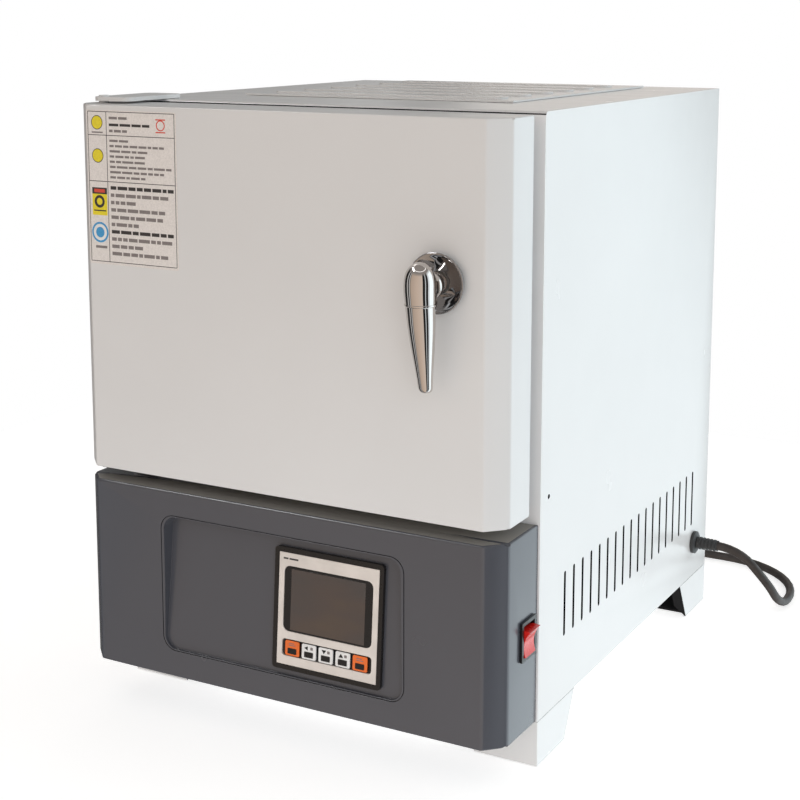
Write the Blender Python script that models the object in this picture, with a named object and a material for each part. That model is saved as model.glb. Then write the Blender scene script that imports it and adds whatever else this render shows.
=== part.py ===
"""Bench-top electric box kiln: case on four feet, side-hung door, control fascia, chamber and electrics.

Case frame used below: x across from the middle of the case, y back from the case front, z up from
the floor. spot() moves it so that the whole object stands centred on the origin. All sizes in metres.
"""

import math

import bmesh
import bpy
from mathutils import Matrix, Vector

# Where the case frame sits: its middle plane and its front face
CASE_X = -0.0028
FRONT_Y = -0.1486

# Case
HALF_W = 0.190
DEPTH = 0.400
BASE_Z = 0.036
TOP_Z = 0.496
SHEET = 0.002
GAP = 0.0003
EDGE_R = 0.004
LIP_X = 0.181
SHELF_Z = 0.188

# Ventilation slots in both sides
SLOT_COUNT = 18
SLOT_Y0 = 0.049
SLOT_PITCH = 0.018
SLOT_Z = (0.0875, 0.1395)
SLOT_R = 0.0015

# Feet
FOOT_TOP = 0.0725
FOOT_BOTTOM = 0.053
FOOT_LIP = 0.010

# Door and fascia share one plan: chamfered front corners
FACE_X = 0.1886
FACE_Y = -0.065
CHAMFER = 0.0145
DOOR_BACK = -0.0165
DOOR_Z = (0.2015, 0.4945)
FASCIA_TOP = 0.191
RECESS_X = 0.1093
RECESS_Z = (0.0595, 0.170)
RECESS_TILT = math.radians(4.4)
RECESS_STEP = 0.0025
RECESS_DRAFT = 0.325

# Door hinge axis, upright at the left
HINGE = (-0.176, -0.040)
HINGE_PIN_R = 0.004

# Chamber
ROOM_X = 0.100
ROOM_Y = 0.300
ROOM_Z = (0.273, 0.423)
BRICK_X = 0.180
BRICK_Y = 0.380
PLUG_BACK = 0.020

# Handle: turning axis points to the front
KNOB = (0.1388, 0.3786)
LEVER_Y = -0.0945

# Controller: a standard 96 mm square instrument
PANEL_X = 0.0423
PANEL_Z = 0.0645
PANEL = 0.096
KEY_PITCH = 0.01505
KEY_COUNT = 5

# Rocker switch on the right end of the fascia
ROCKER = (-0.0188, 0.1092)
ROCKER_AXIS_X = 0.1835
ROCKER_REST = math.radians(10.0)

# Cooling fan in the rear panel
FAN = (-0.060, 0.112)

# Mains lead
GLAND = (0.362, 0.069)
CORD_R = 0.0042
COIL_X = 0.045
COIL_R = 0.050
COIL_TURNS = 3
# Legs of the lead from inside the gland: length, turn to the left, dip, steps (degrees)
LEAD_START = (0.180, 0.362, 0.069)
LEAD_LEGS = ((0.0330, 0, 0, 2), (0.0375, 30, 50, 6), (0.0439, 45, 0, 5), (0.0380, 15, -50, 6),
             (0.1414, 90, 0, 11))
PLUG_R = 0.018

MAIN = bpy.data.collections.new("bench_box_kiln")
CUTTERS = bpy.data.collections.new("cutters")


def spot(x, y, z):
    """A point of the case frame, in the object's frame."""
    return Vector((CASE_X + x, FRONT_Y + y, z))


def finish(name, color, roughness, metallic=0.0):
    """One Principled material."""
    material = bpy.data.materials.new(name)
    material.use_nodes = True
    shader = material.node_tree.nodes["Principled BSDF"]
    shader.inputs["Base Color"].default_value = (*color, 1.0)
    shader.inputs["Roughness"].default_value = roughness
    shader.inputs["Metallic"].default_value = metallic
    return material


# Shapes ------------------------------------------------------------------------------------------

def add(name, bm, origin, material, smooth=False):
    """Puts a mesh built around origin, a point of the case frame, into the model."""
    bmesh.ops.recalc_face_normals(bm, faces=bm.faces[:])
    for face in bm.faces:
        face.smooth = smooth
    mesh = bpy.data.meshes.new(name)
    bm.to_mesh(mesh)
    bm.free()
    obj = bpy.data.objects.new(name, mesh)
    obj.location = spot(*origin)
    if material is None:
        CUTTERS.objects.link(obj)
        obj.hide_render = True
        obj.display_type = "WIRE"
    else:
        MAIN.objects.link(obj)
        mesh.materials.append(material)
    return obj


def box(name, low, high, material, origin=(0, 0, 0)):
    """A block between two corners."""
    low, high, base = Vector(low), Vector(high), Vector(origin)
    bm = bmesh.new()
    place = Matrix.Translation((low + high) / 2 - base)
    size = Matrix.Diagonal((*(high - low), 1.0))
    bmesh.ops.create_cube(bm, size=1.0, matrix=place @ size)
    return add(name, bm, origin, material)


FACING = {
    "x": Matrix(((0, 0, 1, 0), (1, 0, 0, 0), (0, 1, 0, 0), (0, 0, 0, 1))),
    "y": Matrix(((1, 0, 0, 0), (0, 0, -1, 0), (0, 1, 0, 0), (0, 0, 0, 1))),
    "z": Matrix.Identity(4),
}


def plate(name, outlines, facing, low, high, material, origin=(0, 0, 0), smooth=False):
    """A flat piece from low to high along one axis. The first outline is the edge, the rest are holes.

    Outlines are (y, z) for x, (x, z) for y and (x, y) for z.
    """
    curve = bpy.data.curves.new(name, "CURVE")
    curve.dimensions = "2D"
    curve.fill_mode = "BOTH"
    curve.extrude = (high - low) / 2
    for outline in outlines:
        spline = curve.splines.new("POLY")
        spline.points.add(len(outline) - 1)
        spline.use_cyclic_u = True
        for point, (u, v) in zip(spline.points, outline):
            point.co = (u, v, 0, 1)
    holder = bpy.data.objects.new(name, curve)
    middle = (high + low) / 2
    shift = {"x": (middle, 0, 0), "y": (0, middle, 0), "z": (0, 0, middle)}[facing]
    mesh = bpy.data.meshes.new_from_object(holder)
    bm = bmesh.new()
    bm.from_mesh(mesh)
    bpy.data.objects.remove(holder)
    bpy.data.curves.remove(curve)
    bpy.data.meshes.remove(mesh)
    bmesh.ops.transform(bm, matrix=Matrix.Translation(Vector(shift) - Vector(origin)) @ FACING[facing],
                        verts=bm.verts[:])
    bmesh.ops.remove_doubles(bm, verts=bm.verts[:], dist=0.00001)
    return add(name, bm, origin, material, smooth)


def turned(name, profile, origin, direction, material, steps=32):
    """A turned solid. The profile is (radius, height) pairs, height along direction from origin."""
    bm = bmesh.new()
    verts = [bm.verts.new((radius, 0, height)) for radius, height in profile]
    edges = [bm.edges.new(pair) for pair in zip(verts, verts[1:])]
    if profile[0][0] > 0:
        edges.append(bm.edges.new((verts[-1], verts[0])))
    bmesh.ops.spin(bm, geom=verts + edges, axis=(0, 0, 1), cent=(0, 0, 0), steps=steps,
                   angle=math.tau, use_duplicate=False)
    bmesh.ops.remove_doubles(bm, verts=bm.verts[:], dist=0.00001)
    turn = Vector((0, 0, 1)).rotation_difference(Vector(direction)).to_matrix().to_4x4()
    bmesh.ops.transform(bm, matrix=turn, verts=bm.verts[:])
    return add(name, bm, origin, material, smooth=True)


def pin(name, radius, start, end, material, origin=None, steps=24):
    """A plain round bar between two points."""
    start, end = Vector(start), Vector(end)
    base = Vector(origin) if origin else start
    along = end - start
    turn = Vector((0, 0, 1)).rotation_difference(along).to_matrix().to_4x4()
    bm = bmesh.new()
    bmesh.ops.create_cone(bm, cap_ends=True, segments=steps, radius1=radius, radius2=radius,
                          depth=along.length, matrix=Matrix.Translation((start + end) / 2 - base) @ turn)
    return add(name, bm, tuple(base), material)


def combine(target, other, operation="DIFFERENCE"):
    """Cuts or joins a helper solid."""
    modifier = target.modifiers.new(operation.title(), "BOOLEAN")
    modifier.object = other
    modifier.operation = operation
    modifier.solver = "EXACT"


# Outlines ----------------------------------------------------------------------------------------

def rectangle(u0, v0, u1, v1):
    return [(u0, v0), (u1, v0), (u1, v1), (u0, v1)]


def rounded(u0, v0, u1, v1, radius, steps=4):
    """A rectangle with round corners."""
    points = []
    corners = ((u1 - radius, v0 + radius, -90), (u1 - radius, v1 - radius, 0),
               (u0 + radius, v1 - radius, 90), (u0 + radius, v0 + radius, 180))
    for u, v, start in corners:
        for step in range(steps + 1):
            angle = math.radians(start + 90 * step / steps)
            points.append((u + radius * math.cos(angle), v + radius * math.sin(angle)))
    return points


def circle(u, v, radius, count=32):
    turns = (math.tau * step / count for step in range(count))
    return [(u + radius * math.cos(turn), v + radius * math.sin(turn)) for turn in turns]


def ring_slot(u, v, inner, outer, start, end, steps=5):
    """A slot that follows a circle, angles in degrees."""
    angles = [math.radians(start + (end - start) * step / steps) for step in range(steps + 1)]
    far = [(u + outer * math.cos(angle), v + outer * math.sin(angle)) for angle in angles]
    near = [(u + inner * math.cos(angle), v + inner * math.sin(angle)) for angle in reversed(angles)]
    return far + near


def face_plan(inset, back):
    """The plan of the door and the fascia, drawn in by inset."""
    x = FACE_X - inset
    y = FACE_Y + inset
    cut = CHAMFER - inset * (2 - math.sqrt(2))
    return [(x, back), (-x, back), (-x, y + cut), (-x + cut, y), (x - cut, y), (x, y + cut)]


# Case --------------------------------------------------------------------------------------------

def side_panel(name, side, material):
    """A side of the case: it rolls over at the top and ends in a narrow lip."""
    outer = [(HALF_W, BASE_Z)]
    inner = [(HALF_W - SHEET, BASE_Z)]
    for step in range(5):
        angle = math.radians(90 * step / 4)
        centre = (HALF_W - EDGE_R, TOP_Z - EDGE_R)
        for line, radius in ((outer, EDGE_R), (inner, EDGE_R - SHEET)):
            line.append((centre[0] + radius * math.cos(angle), centre[1] + radius * math.sin(angle)))
    outer.append((LIP_X, TOP_Z))
    inner.append((LIP_X, TOP_Z - SHEET))
    outline = [(side * x, z) for x, z in outer + inner[::-1]]
    panel = plate(name, [outline], "y", 0.0, DEPTH, material)
    slots = []
    for index in range(SLOT_COUNT):
        y = SLOT_Y0 + SLOT_PITCH * index
        slots.append(rounded(y - SLOT_R, SLOT_Z[0], y + SLOT_R, SLOT_Z[1], SLOT_R * 0.98, 3))
    x = side * (HALF_W - SHEET / 2)
    combine(panel, plate(name + "_slots", slots, "x", x - 0.003, x + 0.003, None))
    return panel


def case(paint):
    right = side_panel("side_panel_right", 1, paint)
    side_panel("side_panel_left", -1, paint)
    hole = pin("gland_hole", 0.0070, (HALF_W - 0.01, *GLAND), (HALF_W + 0.01, *GLAND), None)
    combine(right, hole)

    # The top folds down at the front, over a round edge, and at the rear
    outer = [(DEPTH, 0.482), (DEPTH, TOP_Z)]
    inner = [(DEPTH - SHEET, 0.482), (DEPTH - SHEET, TOP_Z - SHEET)]
    for step in range(5):
        angle = math.radians(90 + 90 * step / 4)
        for line, radius in ((outer, EDGE_R), (inner, EDGE_R - SHEET)):
            line.append((EDGE_R + radius * math.cos(angle), TOP_Z - EDGE_R + radius * math.sin(angle)))
    outer.append((0.0, 0.480))
    inner.append((SHEET, 0.480))
    plate("top_panel", [outer + inner[::-1]], "x", -LIP_X + GAP, LIP_X - GAP, paint)
    box("service_cover", (-0.125, 0.085, TOP_Z + GAP), (0.125, 0.375, TOP_Z + 0.0018), paint)

    inside = HALF_W - SHEET - GAP
    base = plate("base_pan", [rectangle(-inside, 0.0, inside, DEPTH)], "z", BASE_Z, BASE_Z + SHEET, paint)
    slots = [rounded(x - 0.03, y - 0.002, x + 0.03, y + 0.002, 0.0019, 3)
             for x in (-0.08, 0.0, 0.08) for y in (0.12, 0.14, 0.16, 0.18)]
    combine(base, plate("base_slots", slots, "z", BASE_Z - 0.002, BASE_Z + 0.004, None))

    mouth = rectangle(-ROOM_X - 0.003, ROOM_Z[0] - 0.003, ROOM_X + 0.003, ROOM_Z[1] + 0.003)
    wiring = rectangle(-0.150, 0.050, 0.150, 0.178)
    outline = rectangle(-inside, BASE_Z + SHEET + GAP, inside, 0.480 - GAP)
    plate("front_frame", [outline, mouth, wiring], "y", 0.0, SHEET, paint)

    vents = [rounded(x - 0.0015, 0.432, x + 0.0015, 0.466, 0.0014, 3)
             for x in (-0.11 + 0.02 * step for step in range(12))]
    rear = plate("rear_panel", [rectangle(-inside, BASE_Z + SHEET + GAP, inside, 0.482 - GAP)], "y",
                 DEPTH - SHEET, DEPTH, paint)
    combine(rear, plate("rear_vents", vents, "y", DEPTH - 0.004, DEPTH + 0.002, None))
    combine(rear, pin("fan_hole", 0.037, (FAN[0], DEPTH - 0.01, FAN[1]), (FAN[0], DEPTH + 0.01, FAN[1]),
                      None, steps=48))
    plate("divider_shelf", [rectangle(-inside, SHEET + GAP, inside, DEPTH - SHEET - GAP)], "z",
          SHELF_Z, SHELF_Z + SHEET, paint)


def foot(name, side, front, material):
    """A sheet-metal corner foot: two walls with slanted ends on a flat sole."""
    top = BASE_Z - GAP

    def put(along, back):
        x = side * (HALF_W - along)
        return (x, back) if front else (x, DEPTH - back)

    corner = [put(0, 0), put(FOOT_TOP, 0), put(FOOT_TOP, SHEET), put(SHEET, SHEET),
              put(SHEET, FOOT_TOP), put(0, FOOT_TOP)]
    walls = plate(name, [corner], "z", 0.0, top, material)
    centre_y = 0.0 if front else DEPTH
    run = FOOT_TOP - FOOT_BOTTOM
    for vert in walls.data.vertices:
        if vert.co.z < 0.001:
            if HALF_W - abs(vert.co.x) > FOOT_TOP - 0.001:
                vert.co.x += side * run
            if abs(vert.co.y - centre_y) > FOOT_TOP - 0.001:
                vert.co.y += -run if front else run
    near, far = put(SHEET / 2, SHEET / 2), put(FOOT_BOTTOM - 0.006, FOOT_BOTTOM - 0.006)
    sole = box(name + "_sole", (min(near[0], far[0]), min(near[1], far[1]), 0.0),
               (max(near[0], far[0]), max(near[1], far[1]), SHEET), None)
    combine(walls, sole, "UNION")
    tab = box(name + "_tab", (min(near[0], far[0]), min(near[1], far[1]), top - SHEET),
              (max(near[0], far[0]), max(near[1], far[1]), top), None)
    combine(walls, tab, "UNION")

    # A lip folded inwards along the slanted end of the side wall
    def edge(inset, z):
        back = FOOT_BOTTOM + run * z / top - inset
        return (back if front else DEPTH - back, z)

    inner, outer = side * (HALF_W - FOOT_LIP), side * (HALF_W - SHEET / 2)
    lip = plate(name + "_lip", [[edge(0, 0.0), edge(0, top), edge(SHEET, top), edge(SHEET, 0.0)]], "x",
                min(inner, outer), max(inner, outer), None)
    for vert in lip.data.vertices:
        if vert.co.z < 0.001 and abs(vert.co.x - inner) < 0.001:
            vert.co.z += FOOT_LIP
            vert.co.y += (1 if front else -1) * run * FOOT_LIP / top
    combine(walls, lip, "UNION")


# Fascia ------------------------------------------------------------------------------------------

def recess_depth(z):
    return RECESS_STEP + (z - RECESS_Z[0]) * math.tan(RECESS_TILT)


def recess_block(name, grow):
    """The sloping recess as a solid, drawn out by grow on all sides and in depth."""
    outline = rounded(-RECESS_X - grow, RECESS_Z[0] - grow, RECESS_X + grow, RECESS_Z[1] + grow,
                      0.011 + grow, 5)
    block = plate(name, [outline], "y", FACE_Y - 0.010, FACE_Y + 0.010, None)
    for vert in block.data.vertices:
        if vert.co.y > FACE_Y:
            depth = recess_depth(vert.co.z)
            vert.co.x -= math.copysign(RECESS_DRAFT * depth, vert.co.x)
            vert.co.y = FACE_Y + depth + grow
    return block


def fascia(dark):
    shell = plate("control_fascia", [face_plan(0.0, -GAP)], "z", BASE_Z, FASCIA_TOP, dark)
    hollow = plate("fascia_hollow", [face_plan(SHEET, 0.005)], "z", BASE_Z + SHEET, FASCIA_TOP - SHEET,
                   None)
    combine(hollow, recess_block("recess_wall", SHEET))
    combine(shell, hollow)
    combine(shell, recess_block("recess_cut", 0.0))
    hole = box("panel_hole", (-0.0455, -0.010, 0.0025), (0.0455, 0.010, 0.0935), None)
    tilt(hole)
    combine(shell, hole)
    y, z = ROCKER
    combine(shell, box("rocker_hole", (0.180, y - 0.0116, z - 0.0141), (0.195, y + 0.0116, z + 0.0141),
                       None))


def tilt(obj):
    """Stands a piece, drawn around the bottom middle of the controller, on the sloping recess floor."""
    floor_y = FACE_Y + recess_depth(PANEL_Z)
    turn = Matrix.Rotation(-RECESS_TILT, 4, "X")
    middle = obj.location - spot(0, 0, 0)
    obj.matrix_world = Matrix.Translation(spot(PANEL_X, floor_y, PANEL_Z) + turn @ middle) @ turn


def controller(black, cream, glass, orange, white):
    """Bezel, housing, face plate, window and keys. Outward is -y before the pieces are tilted."""
    half = PANEL / 2
    bezel = plate("controller_bezel", [rounded(-half, 0, half, PANEL, 0.003, 3),
                                       rectangle(-0.0444, 0.0036, 0.0444, 0.0920)], "y",
                  -0.0036, -GAP, black)
    tilt(bezel)
    housing = box("controller_housing", (-0.0440, -0.0012, 0.0040), (0.0440, 0.0560, 0.0916), black)
    tilt(housing)
    window = (-0.0394, 0.0303, 0.0393, 0.0818)
    strip = (-0.0398, 0.0109, 0.0398, 0.0243)
    face = plate("controller_face", [rectangle(-0.0441, 0.0039, 0.0441, 0.0917),
                                     rounded(*window, 0.005, 4), rounded(*strip, 0.0025, 3)], "y",
                 -0.0032, -0.0015, cream)
    tilt(face)
    glazing = plate("display_window", [rounded(window[0] + GAP, window[1] + GAP, window[2] - GAP,
                                               window[3] - GAP, 0.0047, 4)], "y", -0.0029, -0.0015, glass)
    tilt(glazing)
    middle = (KEY_COUNT - 1) / 2
    for index in range(KEY_COUNT):
        x = (index - middle) * KEY_PITCH
        origin = (x, -0.0030, 0.0176)
        key = plate("key_%d" % (index + 1), [rounded(x - 0.0063, 0.0118, x + 0.0063, 0.0234, 0.0012, 3)],
                    "y", -0.0036, -0.0024, orange if index in (0, KEY_COUNT - 1) else white, origin)
        tilt(key)


def rocker_switch(black, red):
    y, z = ROCKER
    frame = plate("rocker_frame", [rounded(y - 0.0127, z - 0.0153, y + 0.0127, z + 0.0153, 0.0012, 2),
                                   rectangle(y - 0.0094, z - 0.0123, y + 0.0094, z + 0.0123)], "x",
                  FACE_X + GAP, FACE_X + 0.0022, black)
    body = plate("rocker_body", [rectangle(y - 0.0112, z - 0.0137, y + 0.0112, z + 0.0137),
                                 rectangle(y - 0.0094, z - 0.0123, y + 0.0094, z + 0.0123)], "x",
                 0.166, FACE_X + 0.001, None)
    combine(frame, body, "UNION")

    # Two facets that meet in a shallow valley, tipped so that the upper end stands out
    outline = [(-0.0045, -0.0070), (0.0060, -0.0107), (0.0105, -0.0102), (0.0088, -0.0050),
               (0.0080, 0.0), (0.0088, 0.0050), (0.0105, 0.0102), (0.0060, 0.0107), (-0.0045, 0.0070)]
    cos, sin = math.cos(ROCKER_REST), math.sin(ROCKER_REST)
    outline = [(ROCKER_AXIS_X + x * cos + v * sin, z + v * cos - x * sin) for x, v in outline]
    plate("rocker", [outline], "y", y - 0.0090, y + 0.0090, red, (ROCKER_AXIS_X, y, z))


# Door --------------------------------------------------------------------------------------------

def door(paint, plain, fibre):
    low, high = DOOR_Z
    axis = (*HINGE, low)
    shell = plate("door_shell", [face_plan(0.0, DOOR_BACK)], "z", low, high, paint, axis)
    hollow = plate("door_hollow", [face_plan(SHEET, DOOR_BACK + 0.005)], "z", low + SHEET, high - SHEET,
                   None)
    combine(shell, hollow)
    combine(shell, pin("door_pivot_hole", HINGE_PIN_R + GAP, (*HINGE, low - 0.01), (*HINGE, high + 0.01),
                       None))
    x, z = KNOB
    bore = pin("door_spindle_hole", 0.0045, (x, FACE_Y - 0.01, z), (x, 0.0, z), None)
    combine(shell, bore)
    inner = FACE_X - SHEET - GAP
    back = plate("door_back_plate", [rectangle(-inner, low + SHEET + GAP, inner, high - SHEET - GAP)],
                 "y", DOOR_BACK - SHEET, DOOR_BACK, plain, axis)
    combine(back, bore)
    core = box("door_core", (-0.160, FACE_Y + SHEET + GAP, low + SHEET + GAP),
               (0.170, DOOR_BACK - SHEET - GAP, high - SHEET - GAP), fibre, axis)
    combine(core, bore)

    # The plug tapers so that it swings clear of the chamber mouth
    plug = box("door_plug", (-0.098, DOOR_BACK + GAP, 0.2755), (0.098, PLUG_BACK, 0.4205), fibre, axis)
    middle = (0.2755 + 0.4205) / 2 - low
    for vert in plug.data.vertices:
        if vert.co.y > 0.0 - HINGE[1]:
            vert.co.x += math.copysign(0.008, -(vert.co.x + HINGE[0]))
            vert.co.z += math.copysign(0.004, middle - vert.co.z)


def hinges(plain):
    """Pivot brackets above and below the door, at its left edge."""
    x, y = HINGE
    top = plate("hinge_top", [rounded(-0.186, -0.056, -0.146, 0.026, 0.004, 3)], "z",
                TOP_Z + GAP, TOP_Z + 0.0035, plain)
    combine(top, pin("hinge_top_pin", HINGE_PIN_R, (x, y, DOOR_Z[1] - 0.012), (x, y, TOP_Z + 0.0045), None),
            "UNION")
    low = plate("hinge_bottom", [rounded(-0.186, -0.047, -0.162, -GAP, 0.004, 3)], "z",
                FASCIA_TOP + 0.004, FASCIA_TOP + 0.007, plain)
    combine(low, pin("hinge_bottom_pin", HINGE_PIN_R, (x, y, FASCIA_TOP + 0.0045),
                     (x, y, DOOR_Z[0] + 0.012), None), "UNION")
    combine(low, box("hinge_flange", (-0.186, -0.0025, FASCIA_TOP + 0.004), (-0.162, -GAP, 0.236), None),
            "UNION")


def handle(chrome, steel, plain):
    x, z = KNOB
    turned("handle_rose", [(0.0088, 0.0003), (0.0088, 0.0016), (0.0150, 0.0032), (0.0205, 0.0066),
                           (0.0218, 0.0066), (0.0220, 0.0058), (0.0200, 0.0016), (0.0190, 0.0003)],
           (x, FACE_Y, z), (0, -1, 0), chrome, 40)
    profile = [(0.0, -0.0755), (0.0030, -0.0752), (0.0046, -0.0738), (0.0053, -0.0710), (0.0058, -0.0640),
               (0.0084, -0.0420), (0.0102, -0.0210), (0.0106, -0.0124), (0.0112, -0.0120),
               (0.0112, -0.0108), (0.0108, -0.0102), (0.0113, -0.0020), (0.0113, 0.0040),
               (0.0104, 0.0092), (0.0082, 0.0138), (0.0048, 0.0171), (0.0, 0.0182)]
    lever = turned("handle_lever", profile, (x, LEVER_Y, z), (0, 0, 1), chrome, 32)
    for vert in lever.data.vertices:
        vert.co.y += 0.0095 * max(0.0, -vert.co.z / 0.0755) ** 1.2
    neck = turned("handle_neck", [(0.0, 0.0), (0.0084, 0.0), (0.0084, 0.0130), (0.0100, 0.0136),
                                  (0.0100, 0.0250), (0.0, 0.0250)],
                  (x, FACE_Y - 0.0006, z), (0, -1, 0), None, 32)
    combine(lever, neck, "UNION")

    spindle = pin("handle_spindle", 0.0040, (x, FACE_Y - 0.0002, z), (x, -0.0085, z), steel,
                  (x, FACE_Y, z))
    tongue = [(x + 0.033, z - 0.006), (x + 0.033, z + 0.006), (x + 0.004, z + 0.010),
              (x - 0.010, z + 0.007), (x - 0.010, z - 0.007), (x + 0.004, z - 0.010)]
    combine(spindle, plate("latch_tongue", [tongue], "y", DOOR_BACK + 0.0006, -0.0095, None), "UNION")
    keeper = box("latch_keeper", (0.150, -0.0023, z - 0.014), (0.180, -GAP, z + 0.014), plain)
    combine(keeper, box("keeper_post", (0.1745, -0.0140, z - 0.014), (0.1770, -0.0015, z + 0.014), None),
            "UNION")


# Chamber -----------------------------------------------------------------------------------------

def chamber(fibre, wire, hearth, seal):
    front = SHEET + GAP
    low, high = ROOM_Z
    deck = SHELF_Z + SHEET + GAP
    box("lining_floor", (-BRICK_X, front, deck), (BRICK_X, BRICK_Y, low - GAP), fibre)
    box("lining_roof", (-BRICK_X, front + EDGE_R, high + GAP), (BRICK_X, BRICK_Y, TOP_Z - SHEET - GAP),
        fibre)
    box("lining_left", (-BRICK_X, front, low), (-ROOM_X, ROOM_Y - GAP, high), fibre)
    box("lining_right", (ROOM_X, front, low), (BRICK_X, ROOM_Y - GAP, high), fibre)
    back = box("lining_back", (-BRICK_X, ROOM_Y, low), (BRICK_X, BRICK_Y, high), fibre)
    combine(back, pin("probe_hole", 0.0035, (0, ROOM_Y - 0.01, 0.400), (0, BRICK_Y + 0.01, 0.400), None))
    box("hearth_plate", (-0.090, 0.026, low + GAP), (0.090, 0.292, low + 0.008), hearth)
    turned("thermocouple", [(0.0, 0.0), (0.0030, 0.0015), (0.0030, 0.1118), (0.0075, 0.1118),
                            (0.0075, 0.1240), (0.0, 0.1240)], (0, 0.2730, 0.400), (0, 1, 0), hearth, 20)

    # Rope seal on the front frame, around the mouth
    plate("door_seal", [rounded(-0.125, 0.248, 0.125, 0.448, 0.010, 3),
                        rounded(-0.106, 0.267, 0.106, 0.429, 0.006, 3)], "y",
          DOOR_BACK + GAP, -GAP, seal)

    # Heating wire in hairpins on both side walls
    for name, side in (("heating_element_left", -1), ("heating_element_right", 1)):
        x = side * (ROOM_X - 0.0024)
        points = []
        for row in range(6):
            z = 0.2920 + 0.022 * row
            near, far = (0.040, 0.276) if row % 2 == 0 else (0.276, 0.040)
            points += [(x, near, z), (x, far, z)]
            if row < 5:
                bow = 0.005 if row % 2 == 0 else -0.005
                points += [(x, far + bow, z + 0.006), (x, far + bow, z + 0.016)]
        tube(name, points, 0.0020, wire)


def tube(name, points, radius, material, resolution=2):
    """A round wire or cable through points."""
    curve = bpy.data.curves.new(name, "CURVE")
    curve.dimensions = "3D"
    curve.bevel_depth = radius
    curve.bevel_resolution = resolution
    curve.use_fill_caps = True
    spline = curve.splines.new("POLY")
    spline.points.add(len(points) - 1)
    for point, (x, y, z) in zip(spline.points, points):
        point.co = (*spot(x, y, z), 1)
    obj = bpy.data.objects.new(name, curve)
    curve.materials.append(material)
    MAIN.objects.link(obj)
    return obj


# Electrics ---------------------------------------------------------------------------------------

def electrics(black, steel, cream):
    deck = BASE_Z + SHEET + GAP
    comb = [(-0.150, deck), (-0.070, deck)]
    for index in range(8):
        x = -0.070 - 0.0108 * index
        comb += [(x, 0.090), (x - 0.0044, 0.090)]
        if index < 7:
            comb += [(x - 0.0044, deck + 0.006), (x - 0.0108, deck + 0.006)]
    comb[-1] = (-0.150, 0.090)
    plate("heat_sink", [comb], "y", 0.150, 0.250, steel)
    box("solid_state_relay", (-0.133, 0.176, 0.0903), (-0.088, 0.234, 0.118), black)
    terminals = box("terminal_block", (0.110, 0.250, deck), (0.140, 0.330, deck + 0.016), cream)
    for index in range(5):
        y = 0.258 + 0.016 * index
        combine(terminals, pin("terminal_well_%d" % index, 0.0045, (0.125, y, deck + 0.008),
                               (0.125, y, deck + 0.03), None, steps=12))


def fan(black, steel):
    x, z = FAN
    back = DEPTH - SHEET - GAP
    square = rounded(x - 0.040, z - 0.040, x + 0.040, z + 0.040, 0.005, 3)
    frame = plate("fan_frame", [square], "y", back - 0.0250, back, black)
    combine(frame, pin("fan_bore", 0.0375, (x, back - 0.0220, z), (x, back + 0.0100, z), None, steps=40))
    slots = [ring_slot(x, z, 0.0190, 0.0365, start + 8, start + 82) for start in range(0, 360, 90)]
    for index, slot in enumerate(slots):
        combine(frame, plate("fan_window_%d" % (index + 1), [slot], "y", back - 0.0350, back - 0.0150, None))

    blades = []
    count = 7
    for index in range(count):
        for offset, radius in ((0, 0.0165), (6, 0.0352), (24, 0.0352), (30, 0.0165)):
            angle = math.radians(360 * index / count + offset)
            blades.append((x + radius * math.cos(angle), z + radius * math.sin(angle)))
    plate("fan_rotor", [blades], "y", back - 0.0205, back - 0.0040, black, (x, back - 0.012, z))

    rings = []
    for inner, outer in ((0.0110, 0.0165), (0.0190, 0.0245), (0.0270, 0.0325)):
        rings += [ring_slot(x, z, inner, outer, start + 7, start + 83) for start in range(0, 360, 90)]
    edge = rounded(x - 0.040, z - 0.040, x + 0.040, z + 0.040, 0.010, 4)
    plate("fan_guard", [edge] + rings, "y", DEPTH + GAP, DEPTH + 0.0030, steel)


# Mains lead --------------------------------------------------------------------------------------

def lead_route():
    """Out of the gland, down to the bench, round the rear corner and up to the coil."""
    place = Vector(LEAD_START)
    points = [tuple(place)]
    heading, dip = 0.0, 0.0
    for length, turn, drop, steps in LEAD_LEGS:
        for _ in range(steps):
            heading += math.radians(turn) / steps / 2
            dip += math.radians(drop) / steps / 2
            level = math.cos(dip) * length / steps
            place += Vector((level * math.cos(heading), level * math.sin(heading),
                             -math.sin(dip) * length / steps))
            heading += math.radians(turn) / steps / 2
            dip += math.radians(drop) / steps / 2
            points.append(tuple(place))
    reach = math.sqrt((COIL_R + 2 * CORD_R + GAP) ** 2 - COIL_R ** 2)
    points.append((COIL_X + reach, place.y, place.z))
    return points


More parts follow.
